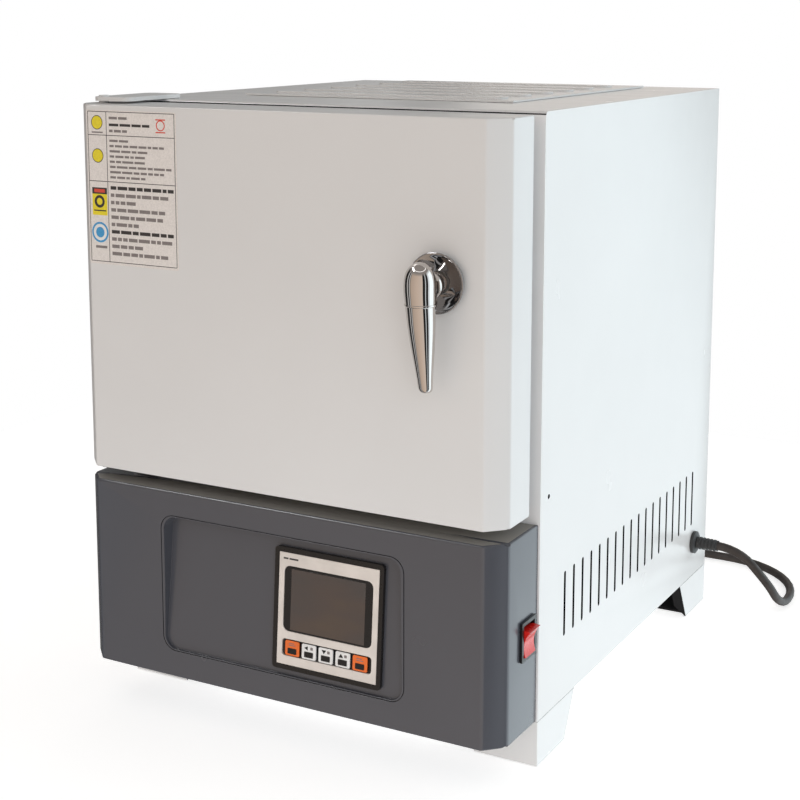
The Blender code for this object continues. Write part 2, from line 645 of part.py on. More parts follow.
def mains_lead(black, steel):
    y, z = GLAND
    turned("cable_gland", [(CORD_R + GAP, -0.012), (CORD_R + GAP, 0.0045), (0.0080, 0.0045),
                           (0.0105, 0.0030), (0.0105, GAP), (0.0067, GAP), (0.0067, -0.0032),
                           (0.0100, -0.0032), (0.0100, -0.0120)], (HALF_W, y, z), (1, 0, 0), black, 28)
    ribs = [(CORD_R + GAP, 0.0), (CORD_R + GAP, 0.0200)]
    outer = [(CORD_R + 0.0009, 0.0200)]
    for index in range(4, 0, -1):
        height = 0.0042 * index
        radius = 0.0074 - 0.00045 * index
        outer += [(radius - 0.0009, height + 0.0010), (radius, height), (radius, height - 0.0022),
                  (radius - 0.0009, height - 0.0030)]
    outer.append((0.0068, 0.0))
    turned("strain_relief", ribs + outer, (HALF_W + 0.0048, y, z), (1, 0, 0), black, 24)
    route = lead_route()
    tube("power_cord", route, CORD_R, black, 3)

    cx, cy = COIL_X, route[-1][1] - COIL_R
    stack = COIL_TURNS * (2 * CORD_R + 0.0004)
    turned("cord_coil", [(COIL_R - CORD_R, 0.0004), (COIL_R - CORD_R, stack), (COIL_R + CORD_R, stack),
                         (COIL_R + CORD_R, 0.0004)], (cx, cy, 0), (0, 0, 1), black, 40)

    # The plug lies on the bench beside the coil
    reach = math.sqrt((COIL_R + CORD_R + 0.0055) ** 2 - COIL_R ** 2)
    start = (cx - reach, cy + COIL_R, PLUG_R + 0.0004)
    plug = turned("mains_plug", [(0.0, 0.0), (0.0050, 0.0), (0.0068, 0.0240), (0.0130, 0.0280),
                                 (PLUG_R - 0.001, 0.0380), (PLUG_R, 0.0450), (PLUG_R, 0.0600),
                                 (PLUG_R - 0.0008, 0.0620), (0.0, 0.0620)], start, (-1, 0, 0), black, 36)
    for side in (-1, 1):
        y = start[1] + side * 0.0095
        combine(plug, pin("plug_pin_%d" % (side + 2), 0.0024, (start[0] - 0.0610, y, start[2]),
                          (start[0] - 0.0810, y, start[2]), None, steps=16), "UNION")


def main():
    for obj in list(bpy.data.objects):
        bpy.data.objects.remove(obj)
    scene = bpy.context.scene
    scene.collection.children.link(MAIN)
    scene.collection.children.link(CUTTERS)
    paint = finish("case_paint", (0.80, 0.82, 0.83), 0.38)
    door_paint = finish("door_paint", (0.74, 0.73, 0.73), 0.40)
    dark = finish("fascia_paint", (0.085, 0.088, 0.098), 0.42)
    plain = finish("plated_steel", (0.62, 0.62, 0.60), 0.35, 1.0)
    chrome = finish("chrome", (0.86, 0.85, 0.84), 0.06, 1.0)
    steel = finish("bare_aluminium", (0.70, 0.71, 0.72), 0.32, 1.0)
    black = finish("black_plastic", (0.020, 0.020, 0.022), 0.45)
    rubber = finish("black_rubber", (0.030, 0.028, 0.027), 0.62)
    cream = finish("cream_plastic", (0.78, 0.74, 0.69), 0.45)
    glass = finish("dark_window", (0.060, 0.050, 0.045), 0.12)
    orange = finish("orange_key", (0.85, 0.20, 0.03), 0.45)
    white = finish("white_key", (0.86, 0.86, 0.86), 0.45)
    red = finish("red_plastic", (0.78, 0.03, 0.02), 0.25)
    fibre = finish("ceramic_fibre", (0.86, 0.84, 0.79), 0.95)
    wire = finish("heating_wire", (0.20, 0.17, 0.15), 0.55, 1.0)
    hearth = finish("hearth_ceramic", (0.55, 0.45, 0.36), 0.85)
    seal = finish("rope_seal", (0.80, 0.79, 0.76), 0.95)

    case(paint)
    for name, side, front in (("foot_front_right", 1, True), ("foot_front_left", -1, True),
                              ("foot_rear_right", 1, False), ("foot_rear_left", -1, False)):
        foot(name, side, front, paint)
    fascia(dark)
    controller(black, cream, glass, orange, white)
    rocker_switch(black, red)
    door(door_paint, plain, fibre)
    hinges(plain)
    handle(chrome, steel, plain)
    chamber(fibre, wire, hearth, seal)
    electrics(black, steel, cream)
    fan(black, steel)
    mains_lead(rubber, steel)


main()
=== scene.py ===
"""Looks for the bench-top box kiln: finishes, rounded sheet metal, fittings, label and mains lead."""

import math
import random

import bmesh
import bpy
from mathutils import Matrix, Vector


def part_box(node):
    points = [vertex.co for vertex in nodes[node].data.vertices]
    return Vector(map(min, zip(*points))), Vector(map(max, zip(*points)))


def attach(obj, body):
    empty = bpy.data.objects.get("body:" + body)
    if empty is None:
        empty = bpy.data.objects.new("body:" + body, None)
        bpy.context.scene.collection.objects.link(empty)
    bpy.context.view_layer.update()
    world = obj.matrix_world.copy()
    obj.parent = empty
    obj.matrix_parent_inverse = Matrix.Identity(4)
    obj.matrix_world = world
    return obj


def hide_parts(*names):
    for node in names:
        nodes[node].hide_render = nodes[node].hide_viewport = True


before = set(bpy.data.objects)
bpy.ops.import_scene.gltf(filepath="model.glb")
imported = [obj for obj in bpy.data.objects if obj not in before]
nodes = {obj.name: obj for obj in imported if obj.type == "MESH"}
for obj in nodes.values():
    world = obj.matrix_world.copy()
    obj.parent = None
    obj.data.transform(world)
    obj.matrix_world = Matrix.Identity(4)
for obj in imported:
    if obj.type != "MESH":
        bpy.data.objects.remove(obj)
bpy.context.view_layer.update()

# The case frame of the CAD: x from the middle of the case, y from its front face, z from the bench
CASE_X = (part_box("side_panel_left")[0].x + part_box("side_panel_right")[1].x) / 2
FRONT_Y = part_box("front_frame")[0].y
HALF_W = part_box("side_panel_right")[1].x - CASE_X
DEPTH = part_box("rear_panel")[1].y - FRONT_Y
BASE_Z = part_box("side_panel_right")[0].z
TOP_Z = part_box("top_panel")[1].z
FACE_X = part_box("door_shell")[1].x - CASE_X
FACE_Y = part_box("door_shell")[0].y - FRONT_Y
DOOR_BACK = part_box("door_shell")[1].y - FRONT_Y
DOOR_Z = (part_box("door_shell")[0].z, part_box("door_shell")[1].z)
FASCIA_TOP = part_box("control_fascia")[1].z
SHEET = 0.002
GAP = 0.0003
WELD = 0.000002
CHAMFER = 0.0145
RECESS_X = 0.1093
RECESS_Z = (0.0595, 0.170)
RECESS_TILT = math.radians(4.4)
RECESS_STEP = 0.0025
RECESS_DRAFT = 0.325
FOOT_TOP = 0.0725
FOOT_BOTTOM = 0.053
FOOT_LIP = 0.010
VENT_COUNT = 18
VENT_Y0 = 0.049
VENT_PITCH = 0.018
VENT_HALF = 0.0019
VENT_Z = (0.0872, 0.1398)
HINGE = (-0.176, -0.040)
KNOB = (0.1388, 0.3786)
LEVER_Y = -0.0945
LEVER_LENGTH = 0.0755
LEVER_BOW = 0.0095
PANEL_X = 0.0423
PANEL_Z = 0.0645
PANEL = 0.096
KEY_PITCH = 0.01505
KEY_COUNT = 5
ROCKER = (-0.0188, 0.1092)
ROCKER_AXIS_X = 0.1835
ROCKER_REST = math.radians(10.0)
FAN = (-0.060, 0.112)
GLAND = (0.362, 0.069)
CORD_R = 0.0042
COIL_X = 0.045
COIL_R = 0.050
COIL_TURNS = 3
TURN_STEPS = 30
LEAD_START = (0.180, 0.362, 0.069)
LEAD_LEGS = ((0.0330, 0, 0, 2), (0.0375, 30, 50, 6), (0.0439, 45, 0, 5), (0.0380, 15, -50, 6),
             (0.1414, 90, 0, 11))


def spot(x, y, z):
    return Vector((CASE_X + x, FRONT_Y + y, z))


ORIGIN = spot(0, 0, 0)


# Camera ------------------------------------------------------------------------------------------

def camera():
    data = bpy.data.cameras.new("camera")
    data.lens = 71.4
    data.sensor_width = 36.0
    data.shift_y = -0.17
    obj = bpy.data.objects.new("camera", data)
    obj.location = spot(0.6432, -1.0400, 0.5656)
    obj.rotation_euler = (math.pi / 2 - 0.1573, 0.0, 0.5026)
    bpy.context.scene.collection.objects.link(obj)
    bpy.context.scene.camera = obj


# Node helpers ------------------------------------------------------------------------------------

def principled(name, color, roughness, metallic=0.0, **sockets):
    """A material with one Principled shader. Returns the material, its tree and the shader."""
    material = bpy.data.materials.new(name)
    material.use_nodes = True
    tree = material.node_tree
    shader = tree.nodes["Principled BSDF"]
    shader.inputs["Base Color"].default_value = (*color, 1.0)
    shader.inputs["Roughness"].default_value = roughness
    shader.inputs["Metallic"].default_value = metallic
    for socket, value in sockets.items():
        shader.inputs[socket.replace("_", " ")].default_value = value
    return material, tree, shader


def placed(tree, stretch=(1, 1, 1)):
    """Object coordinates in metres, stretched along the axes."""
    coords = tree.nodes.new("ShaderNodeTexCoord")
    mapping = tree.nodes.new("ShaderNodeMapping")
    mapping.inputs["Scale"].default_value = stretch
    tree.links.new(coords.outputs["Object"], mapping.inputs["Vector"])
    return mapping.outputs["Vector"]


def noise(tree, scale, detail, stretch=(1, 1, 1)):
    node = tree.nodes.new("ShaderNodeTexNoise")
    node.inputs["Scale"].default_value = scale
    node.inputs["Detail"].default_value = detail
    tree.links.new(placed(tree, stretch), node.inputs["Vector"])
    return node.outputs["Fac"]


def cells(tree, scale):
    node = tree.nodes.new("ShaderNodeTexVoronoi")
    node.inputs["Scale"].default_value = scale
    tree.links.new(placed(tree), node.inputs["Vector"])
    return node.outputs["Distance"]


def bands(tree, scale, axis, distortion):
    node = tree.nodes.new("ShaderNodeTexWave")
    node.bands_direction = axis
    node.inputs["Scale"].default_value = scale
    node.inputs["Distortion"].default_value = distortion
    tree.links.new(placed(tree), node.inputs["Vector"])
    return node.outputs["Fac"]


def ramp(tree, source, stops):
    """Maps a 0 to 1 value to colours: stops are (position, colour) or (position, grey)."""
    node = tree.nodes.new("ShaderNodeValToRGB")
    elements = node.color_ramp.elements
    for index, (position, color) in enumerate(stops):
        element = elements[index] if index < 2 else elements.new(position)
        element.position = position
        element.color = (*color, 1.0) if isinstance(color, tuple) else (color, color, color, 1.0)
    tree.links.new(source, node.inputs["Fac"])
    return node.outputs["Color"]


def tint(color, amount):
    return tuple(min(1.0, channel * amount) for channel in color)


def relief(tree, shader, height, strength, distance):
    """Adds a bump layer on top of the ones already there."""
    node = tree.nodes.new("ShaderNodeBump")
    node.inputs["Strength"].default_value = strength
    node.inputs["Distance"].default_value = distance
    tree.links.new(height, node.inputs["Height"])
    if shader.inputs["Normal"].is_linked:
        tree.links.new(shader.inputs["Normal"].links[0].from_socket, node.inputs["Normal"])
    tree.links.new(node.outputs["Normal"], shader.inputs["Normal"])


def vary(tree, shader, socket, source, stops):
    tree.links.new(ramp(tree, source, stops), shader.inputs[socket])


# Finishes ----------------------------------------------------------------------------------------

def powder_coat(name, color, roughness, peel=0.10, **sockets):
    """Sprayed and baked powder: slow drifts of shade, orange peel and a fine grain."""
    material, tree, shader = principled(name, color, roughness, **sockets)
    drift = noise(tree, 7.0, 3.0)
    vary(tree, shader, "Base Color", drift, [(0.15, tint(color, 0.97)), (0.85, tint(color, 1.03))])
    vary(tree, shader, "Roughness", noise(tree, 30.0, 2.0),
         [(0.10, roughness - 0.03), (0.90, roughness + 0.05)])
    relief(tree, shader, noise(tree, 420.0, 2.0), peel, 0.00008)
    relief(tree, shader, noise(tree, 2400.0, 2.0), peel * 0.6, 0.00003)
    return material


def chrome_plate(name, color):
    """Polished chrome with faint rubbing marks and a slightly uneven gloss."""
    material, tree, shader = principled(name, color, 0.05, 1.0)
    vary(tree, shader, "Roughness", noise(tree, 90.0, 6.0), [(0.35, 0.03), (0.80, 0.07)])
    vary(tree, shader, "Base Color", noise(tree, 25.0, 3.0),
         [(0.3, tint(color, 0.97)), (0.7, tint(color, 1.04))])
    relief(tree, shader, noise(tree, 900.0, 4.0, (1.0, 1.0, 0.08)), 0.05, 0.00002)
    return material


def zinc_plate(name):
    """Zinc-plated steel: crystalline patches and fine drawing lines."""
    color = (0.55, 0.56, 0.57)
    material, tree, shader = principled(name, color, 0.36, 1.0)
    vary(tree, shader, "Base Color", cells(tree, 260.0), [(0.1, tint(color, 0.88)), (0.8, tint(color, 1.12))])
    vary(tree, shader, "Roughness", noise(tree, 140.0, 5.0), [(0.3, 0.28), (0.8, 0.46)])
    relief(tree, shader, noise(tree, 1500.0, 3.0, (0.06, 1.0, 1.0)), 0.12, 0.00004)
    return material


def extruded_aluminium(name):
    """Extruded aluminium: fine lines along the draw."""
    color = (0.66, 0.67, 0.69)
    material, tree, shader = principled(name, color, 0.34, 1.0)
    streaks = noise(tree, 1300.0, 4.0, (1.0, 0.03, 1.0))
    vary(tree, shader, "Base Color", streaks, [(0.25, tint(color, 0.85)), (0.75, tint(color, 1.1))])
    vary(tree, shader, "Roughness", streaks, [(0.3, 0.26), (0.8, 0.45)])
    relief(tree, shader, streaks, 0.18, 0.00004)
    return material


def moulded(name, color, roughness, grain=0.18, **sockets):
    """Injection-moulded plastic: spark-eroded grain and slow gloss changes."""
    material, tree, shader = principled(name, color, roughness, **sockets)
    vary(tree, shader, "Base Color", noise(tree, 60.0, 3.0),
         [(0.3, tint(color, 0.93)), (0.7, tint(color, 1.06))])
    vary(tree, shader, "Roughness", noise(tree, 240.0, 4.0),
         [(0.3, roughness - 0.05), (0.8, roughness + 0.08)])
    relief(tree, shader, noise(tree, 3200.0, 2.0), grain, 0.00004)
    return material


def fibre_board(name, color):
    """Vacuum-formed ceramic fibre: matted strands, pits and a soft off-white mottle."""
    material, tree, shader = principled(name, color, 0.95)
    vary(tree, shader, "Base Color", noise(tree, 45.0, 6.0),
         [(0.25, tint(color, 0.86)), (0.55, color), (0.85, tint(color, 1.06))])
    relief(tree, shader, noise(tree, 260.0, 8.0), 0.55, 0.0006)
    relief(tree, shader, noise(tree, 700.0, 4.0, (0.15, 1.0, 0.5)), 0.35, 0.0003)
    relief(tree, shader, cells(tree, 420.0), 0.20, 0.0002)
    return material


def rope(name):
    """Braided fibreglass rope."""
    color = (0.76, 0.74, 0.69)
    material, tree, shader = principled(name, color, 0.92, Sheen_Weight=0.3)
    weave = bands(tree, 120.0, "DIAGONAL", 1.0)
    # The colour darkens where the braid's bumps sink: painted shade in the grooves between strands
    vary(tree, shader, "Base Color", weave, [(0.1, tint(color, 0.72)), (0.7, tint(color, 1.05))])
    relief(tree, shader, weave, 0.7, 0.0008)
    relief(tree, shader, bands(tree, 160.0, "Z", 2.0), 0.4, 0.0005)
    return material


def oxidised_wire(name):
    """Resistance wire with a dark, flaky oxide."""
    color = (0.17, 0.14, 0.12)
    material, tree, shader = principled(name, color, 0.6, 0.7)
    vary(tree, shader, "Base Color", noise(tree, 180.0, 5.0),
         [(0.3, (0.10, 0.085, 0.08)), (0.8, (0.26, 0.20, 0.16))])
    relief(tree, shader, noise(tree, 1800.0, 3.0), 0.3, 0.0001)
    return material


def fired_clay(name, color):
    """Cordierite: speckled, sandy and matt."""
    material, tree, shader = principled(name, color, 0.85)
    vary(tree, shader, "Base Color", noise(tree, 900.0, 4.0),
         [(0.30, tint(color, 0.72)), (0.45, color), (0.70, tint(color, 1.18))])
    vary(tree, shader, "Roughness", noise(tree, 90.0, 4.0), [(0.3, 0.78), (0.8, 0.95)])
    relief(tree, shader, noise(tree, 1400.0, 5.0), 0.5, 0.0002)
    return material


def cable_rubber(name, color):
    """PVC sheath: patchy gloss and handling dust."""
    material, tree, shader = principled(name, color, 0.5)
    vary(tree, shader, "Base Color", noise(tree, 70.0, 5.0),
         [(0.35, tint(color, 0.85)), (0.8, tint(color, 1.5))])
    vary(tree, shader, "Roughness", noise(tree, 160.0, 4.0), [(0.3, 0.42), (0.8, 0.62)])
    relief(tree, shader, noise(tree, 1500.0, 3.0), 0.16, 0.00005)
    return material


def screen(name):
    """An unlit liquid-crystal panel behind smoked acrylic."""
    color = (0.078, 0.060, 0.054)
    material, tree, shader = principled(name, color, 0.20, Coat_Weight=0.25, Coat_Roughness=0.05)
    vary(tree, shader, "Base Color", noise(tree, 14.0, 2.0, (1.0, 1.0, 2.2)),
         [(0.30, (0.064, 0.058, 0.058)), (0.55, color), (0.75, (0.098, 0.070, 0.050))])
    relief(tree, shader, noise(tree, 300.0, 2.0), 0.02, 0.00002)
    return material


def ink(name, color, roughness=0.55):
    """A printed patch: slight screen-print mottle."""
    material, tree, shader = principled(name, color, roughness)
    vary(tree, shader, "Base Color", noise(tree, 900.0, 3.0),
         [(0.3, tint(color, 0.90)), (0.75, tint(color, 1.07))])
    relief(tree, shader, noise(tree, 2500.0, 2.0), 0.08, 0.00002)
    return material


MAT = {
    "case": powder_coat("case_powder", (0.800, 0.800, 0.800), 0.24),
    # The case front is a brighter copy of the case white: painted light that lifts the strip beside the door
    # out of its shade
    "front": powder_coat("front_powder_painted_light", (0.940, 0.940, 0.950), 0.24),
    # The door paint is a greyer, warmer copy of the case white: painted shade for its less lit front
    "door": powder_coat("door_powder_painted_shade", (0.745, 0.742, 0.742), 0.30),
    "fascia": powder_coat("fascia_powder", (0.074, 0.078, 0.094), 0.24, 0.04, Specular_IOR_Level=0.75),
    # The fascia's top face is a light warm grey instead of the fascia's dark paint: painted light and
    # reflection on it below the door
    "painted_lit_top": powder_coat("fascia_top_painted_light", (0.250, 0.238, 0.220), 0.50, 0.10),
    # Near-black and without gloss: painted shadow on the vent slot walls and in the recess groove
    "shadow": powder_coat("painted_slot_shadow", (0.004, 0.004, 0.004), 0.90, 0.30, Specular_IOR_Level=0.0),
    # Near-black coat on the inner faces of the case and feet: painted shade for their unlit insides
    "inner_painted_shade": powder_coat("inner_painted_shade_coat", (0.016, 0.016, 0.017), 0.80, 0.30, Specular_IOR_Level=0.15),
    "chrome": chrome_plate("chrome_plate", (0.64, 0.61, 0.59)),
    # A darker copy of the chrome for the rose: painted dark reflection in its cup
    "rose": chrome_plate("chrome_rose_painted_dark", (0.38, 0.38, 0.39)),
    "zinc": zinc_plate("zinc_plate"),
    "aluminium": extruded_aluminium("extruded_aluminium"),
    "black": moulded("black_moulding", (0.008, 0.008, 0.009), 0.30),
    "satin_black": moulded("black_membrane", (0.006, 0.007, 0.009), 0.30, 0.10),
    "cream": moulded("cream_moulding", (0.760, 0.700, 0.650), 0.50, 0.12),
    "orange": moulded("orange_key", (0.870, 0.165, 0.020), 0.45, 0.12),
    "white": moulded("white_key", (0.830, 0.825, 0.820), 0.45, 0.12),
    "red": moulded("red_rocker", (0.720, 0.016, 0.012), 0.24, 0.05, Coat_Weight=0.2, Coat_Roughness=0.10),
    "screen": screen("unlit_screen"),
    "fibre": fibre_board("fibre_board", (0.800, 0.780, 0.730)),
    "rope": rope("rope_braid"),
    "wire": oxidised_wire("oxidised_wire"),
    "clay": fired_clay("fired_clay", (0.520, 0.410, 0.320)),
    "probe": fired_clay("probe_ceramic", (0.700, 0.660, 0.600)),
    "sheath": cable_rubber("cable_sheath", (0.040, 0.033, 0.030)),
    "gland": moulded("gland_nylon", (0.040, 0.041, 0.043), 0.48, 0.20),
    "paper": ink("label_paper", (0.800, 0.760, 0.735), 0.42),
    "line": ink("ink_dark", (0.040, 0.036, 0.036)),
    "grey_ink": ink("ink_grey", (0.230, 0.205, 0.200)),
    "yellow": ink("ink_yellow", (0.830, 0.690, 0.030)),
    "red_ink": ink("ink_red", (0.700, 0.080, 0.050)),
    "blue": ink("ink_blue", (0.060, 0.330, 0.640)),
}


# Shapes ------------------------------------------------------------------------------------------

def piece(name, bm, body, finishes, replaces=(), smooth=30.0, round_off=None, steps=3):
    """Turns a bmesh into a piece that rides on a body."""
    mesh = bpy.data.meshes.new(name)
    bmesh.ops.recalc_face_normals(bm, faces=bm.faces[:])
    for face in bm.faces:
        face.smooth = True
    bm.to_mesh(mesh)
    bm.free()
    mesh.set_sharp_from_angle(angle=math.radians(smooth))
    obj = bpy.data.objects.new(name, mesh)
    bpy.context.scene.collection.objects.link(obj)
    for finish in finishes if isinstance(finishes, (list, tuple)) else [finishes]:
        mesh.materials.append(MAT[finish])
    if round_off:
        modifier = obj.modifiers.new("Bevel", "BEVEL")
        modifier.width = round_off
        modifier.segments = steps
        modifier.limit_method = "ANGLE"
        modifier.angle_limit = math.radians(35)
        modifier.harden_normals = True
        modifier.use_clamp_overlap = True
    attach(obj, body)
    if replaces:
        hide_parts(*replaces)
    return obj


def block(low, high, bm=None, slot=0):
    """A box between two corners of the case frame."""
    bm = bm or bmesh.new()
    low, high = Vector(low), Vector(high)
    place = Matrix.Translation(spot(*((low + high) / 2)))
    size = Matrix.Diagonal((*(high - low), 1.0))
    made = bmesh.ops.create_cube(bm, size=1.0, matrix=place @ size)
    for face in {face for vert in made["verts"] for face in vert.link_faces}:
        face.material_index = slot
    return bm


FACING = {
    "x": Matrix(((0, 0, 1, 0), (1, 0, 0, 0), (0, 1, 0, 0), (0, 0, 0, 1))),
    "y": Matrix(((1, 0, 0, 0), (0, 0, -1, 0), (0, 1, 0, 0), (0, 0, 0, 1))),
    "z": Matrix.Identity(4),
}


def plate(outlines, facing, low, high, bm=None, slot=0):
    """A flat piece with holes, as in the CAD: outlines are (y, z), (x, z) or (x, y)."""
    curve = bpy.data.curves.new("outline", "CURVE")
    curve.dimensions = "2D"
    curve.fill_mode = "BOTH"
    curve.extrude = (high - low) / 2
    for loop in outlines:
        spline = curve.splines.new("POLY")
        spline.points.add(len(loop) - 1)
        spline.use_cyclic_u = True
        for point, (u, v) in zip(spline.points, loop):
            point.co = (u, v, 0, 1)
    holder = bpy.data.objects.new("outline", curve)
    mesh = bpy.data.meshes.new_from_object(holder)
    middle = (high + low) / 2
    shift = {"x": (middle, 0, 0), "y": (0, middle, 0), "z": (0, 0, middle)}[facing]
    mesh.transform(Matrix.Translation(spot(*shift)) @ FACING[facing])
    bm = bm or bmesh.new()
    known = len(bm.faces)
    bm.from_mesh(mesh)
    bm.faces.ensure_lookup_table()
    for face in bm.faces[known:]:
        face.material_index = slot
    bpy.data.objects.remove(holder)
    bpy.data.curves.remove(curve)
    bpy.data.meshes.remove(mesh)
    bmesh.ops.remove_doubles(bm, verts=bm.verts[:], dist=WELD)
    return bm


def rectangle(u0, v0, u1, v1):
    return [(u0, v0), (u1, v0), (u1, v1), (u0, v1)]


def rounded(u0, v0, u1, v1, radius, steps=6):
    points = []
    corners = ((u1 - radius, v0 + radius, -90), (u1 - radius, v1 - radius, 0),
               (u0 + radius, v1 - radius, 90), (u0 + radius, v0 + radius, 180))
    for u, v, start in corners:
        for step in range(steps + 1):
            angle = math.radians(start + 90 * step / steps)
            points.append((u + radius * math.cos(angle), v + radius * math.sin(angle)))
    return points


def circle(u, v, radius):
    turns = (math.tau * step / 40 for step in range(40))
    return [(u + radius * math.cos(turn), v + radius * math.sin(turn)) for turn in turns]


def lathe(profile, centre, direction, steps):
    """A turned solid: profile is (radius, height) along direction from centre, in the case frame."""
    bm = bmesh.new()
    verts = [bm.verts.new((radius, 0, height)) for radius, height in profile]
    edges = [bm.edges.new(pair) for pair in zip(verts, verts[1:])]
    if profile[0][0] > 0:
        edges.append(bm.edges.new((verts[-1], verts[0])))
    bmesh.ops.spin(bm, geom=verts + edges, axis=(0, 0, 1), cent=(0, 0, 0), steps=steps,
                   angle=math.tau, use_duplicate=False)
    bmesh.ops.remove_doubles(bm, verts=bm.verts[:], dist=WELD)
    turn = Vector((0, 0, 1)).rotation_difference(Vector(direction)).to_matrix().to_4x4()
    bmesh.ops.transform(bm, matrix=Matrix.Translation(spot(*centre)) @ turn, verts=bm.verts[:])
    return bm


def bar(start, end, radius, steps=24):
    along = Vector(end) - Vector(start)
    return lathe([(0, 0), (radius, 0), (radius, along.length), (0, along.length)], start, along, steps)


def carve(bm, cutters, union=()):
    """Cuts solids out of a solid, joins others to it, and returns the result."""
    def loose(source):
        mesh = bpy.data.meshes.new("solid")
        bmesh.ops.recalc_face_normals(source, faces=source.faces[:])
        source.to_mesh(mesh)
        source.free()
        obj = bpy.data.objects.new("solid", mesh)
        bpy.context.scene.collection.objects.link(obj)
        return obj

    target = loose(bm)
    helpers = []
    for operation, sources in (("UNION", union), ("DIFFERENCE", cutters)):
        for source in sources:
            helper = loose(source)
            helpers.append(helper)
            modifier = target.modifiers.new("Boolean", "BOOLEAN")
            modifier.object = helper
            modifier.operation = operation
            modifier.solver = "EXACT"
    graph = bpy.context.evaluated_depsgraph_get()
    mesh = bpy.data.meshes.new_from_object(target.evaluated_get(graph))
    result = bmesh.new()
    result.from_mesh(mesh)
    bpy.data.meshes.remove(mesh)
    for obj in [target] + helpers:
        used = obj.data
        bpy.data.objects.remove(obj)
        bpy.data.meshes.remove(used)
    bmesh.ops.remove_doubles(result, verts=result.verts[:], dist=WELD)
    bmesh.ops.dissolve_limit(result, angle_limit=math.radians(0.5), verts=result.verts[:],
                             edges=result.edges[:])
    return result


def strand(name, points, radius, resolution, finish):
    """A round wire or cord through points of the case frame."""
    curve = bpy.data.curves.new(name, "CURVE")
    curve.dimensions = "3D"
    curve.bevel_depth = radius
    curve.bevel_resolution = resolution
    curve.use_fill_caps = True
    spline = curve.splines.new("POLY")
    spline.points.add(len(points) - 1)
    for point, place in zip(spline.points, points):
        point.co = (*spot(*place), 1)
    curve.materials.append(MAT[finish])
    obj = bpy.data.objects.new(name, curve)
    bpy.context.scene.collection.objects.link(obj)
    return obj


def bevel_edges(bm, chosen, width, steps):
    bmesh.ops.bevel(bm, geom=chosen, offset=width, offset_type="OFFSET", segments=steps, profile=0.5,
                    affect="EDGES", clamp_overlap=True)


def face_plan(inset, back):
    x = FACE_X - inset
    y = FACE_Y + inset
    cut = CHAMFER - inset * (2 - math.sqrt(2))
    return [(x, back), (-x, back), (-x, y + cut), (-x + cut, y), (x - cut, y), (x, y + cut)]


def tilted(bm):
    """Stands a piece, drawn around the bottom middle of the controller, on the sloping recess floor."""
    depth = RECESS_STEP + (PANEL_Z - RECESS_Z[0]) * math.tan(RECESS_TILT)
    turn = Matrix.Rotation(-RECESS_TILT, 4, "X")
    move = Matrix.Translation(spot(PANEL_X, FACE_Y + depth, PANEL_Z)) @ turn
    bmesh.ops.transform(bm, matrix=move @ Matrix.Translation(-ORIGIN), verts=bm.verts[:])
    return bm


# Case --------------------------------------------------------------------------------------------

def case_shell():
    outer = block((-HALF_W, 0.0, BASE_Z), (HALF_W, DEPTH, TOP_Z))
    fold = [edge for edge in outer.edges
            if all(vert.co.z > TOP_Z - 0.001 and vert.co.y < FRONT_Y + 0.001 for vert in edge.verts)]
    bevel_edges(outer, fold, 0.0036, 5)
    rest = [edge for edge in outer.edges if abs(edge.verts[0].co.z - edge.verts[1].co.z) > 0.3
            or all(vert.co.z > TOP_Z - 0.0001 for vert in edge.verts) and edge.calc_length() > 0.1
            and any(vert.co.y > FRONT_Y + 0.1 for vert in edge.verts)]
    bevel_edges(outer, rest, 0.0014, 4)
    inner = block((-HALF_W + SHEET, SHEET, BASE_Z - 0.01), (HALF_W - SHEET, DEPTH - SHEET, TOP_Z - SHEET))
    rear = block((-HALF_W + SHEET + 0.0002, DEPTH - 0.01, BASE_Z - 0.01),
                 (HALF_W - SHEET - 0.0002, DEPTH + 0.01, 0.4819))
    mouth = block((-0.103, -0.01, 0.270), (0.103, 0.01, 0.426))
    wiring = block((-0.150, -0.01, 0.050), (0.150, 0.01, 0.178))
    cutters = [inner, rear, mouth, wiring]
    for side in (-1, 1):
        x = side * (HALF_W - SHEET / 2)
        slots = [rounded(y - VENT_HALF, VENT_Z[0], y + VENT_HALF, VENT_Z[1], 0.00187, 4)
                 for y in (VENT_Y0 + VENT_PITCH * index for index in range(VENT_COUNT))]
        cutters.append(plate(slots, "x", x - 0.003, x + 0.003))
    cutters.append(bar((HALF_W - 0.01, *GLAND), (HALF_W + 0.01, *GLAND), 0.0070, 32))
    cutters.append(bar((HALF_W - 0.01, 0.0152, 0.2085), (HALF_W + 0.01, 0.0152, 0.2085), 0.0019, 20))
    shell = carve(outer, cutters)
    skin = 0.0002
    # Inner faces take the near-black coat: painted shade for the unlit inside of the case
    for face in shell.faces:
        x, y, z = face.calc_center_median() - ORIGIN
        outside = abs(x) > HALF_W - SHEET + skin and abs(face.normal.x) > 0.5
        outside = outside or z > TOP_Z - SHEET + skin or y < skin or y > DEPTH - skin
        # The walls cut through the side sheets take the near-black finish: painted shadow inside the vent
        # slots and holes
        shaded_slot_wall = abs(x) > HALF_W - 0.0017 and abs(face.normal.z) < 0.5 and abs(face.normal.x) < 0.2
        face.material_index = 0 if outside else 1
        if shaded_slot_wall and 0.006 < y < 0.394:
            face.material_index = 2
        # The front face takes the brighter copy of the case white: painted light
        elif y < skin:
            face.material_index = 3
    piece("case_shell", shell, "case", ("case", "inner_painted_shade", "shadow", "front"),
          ("side_panel_left", "side_panel_right", "top_panel", "front_frame"))


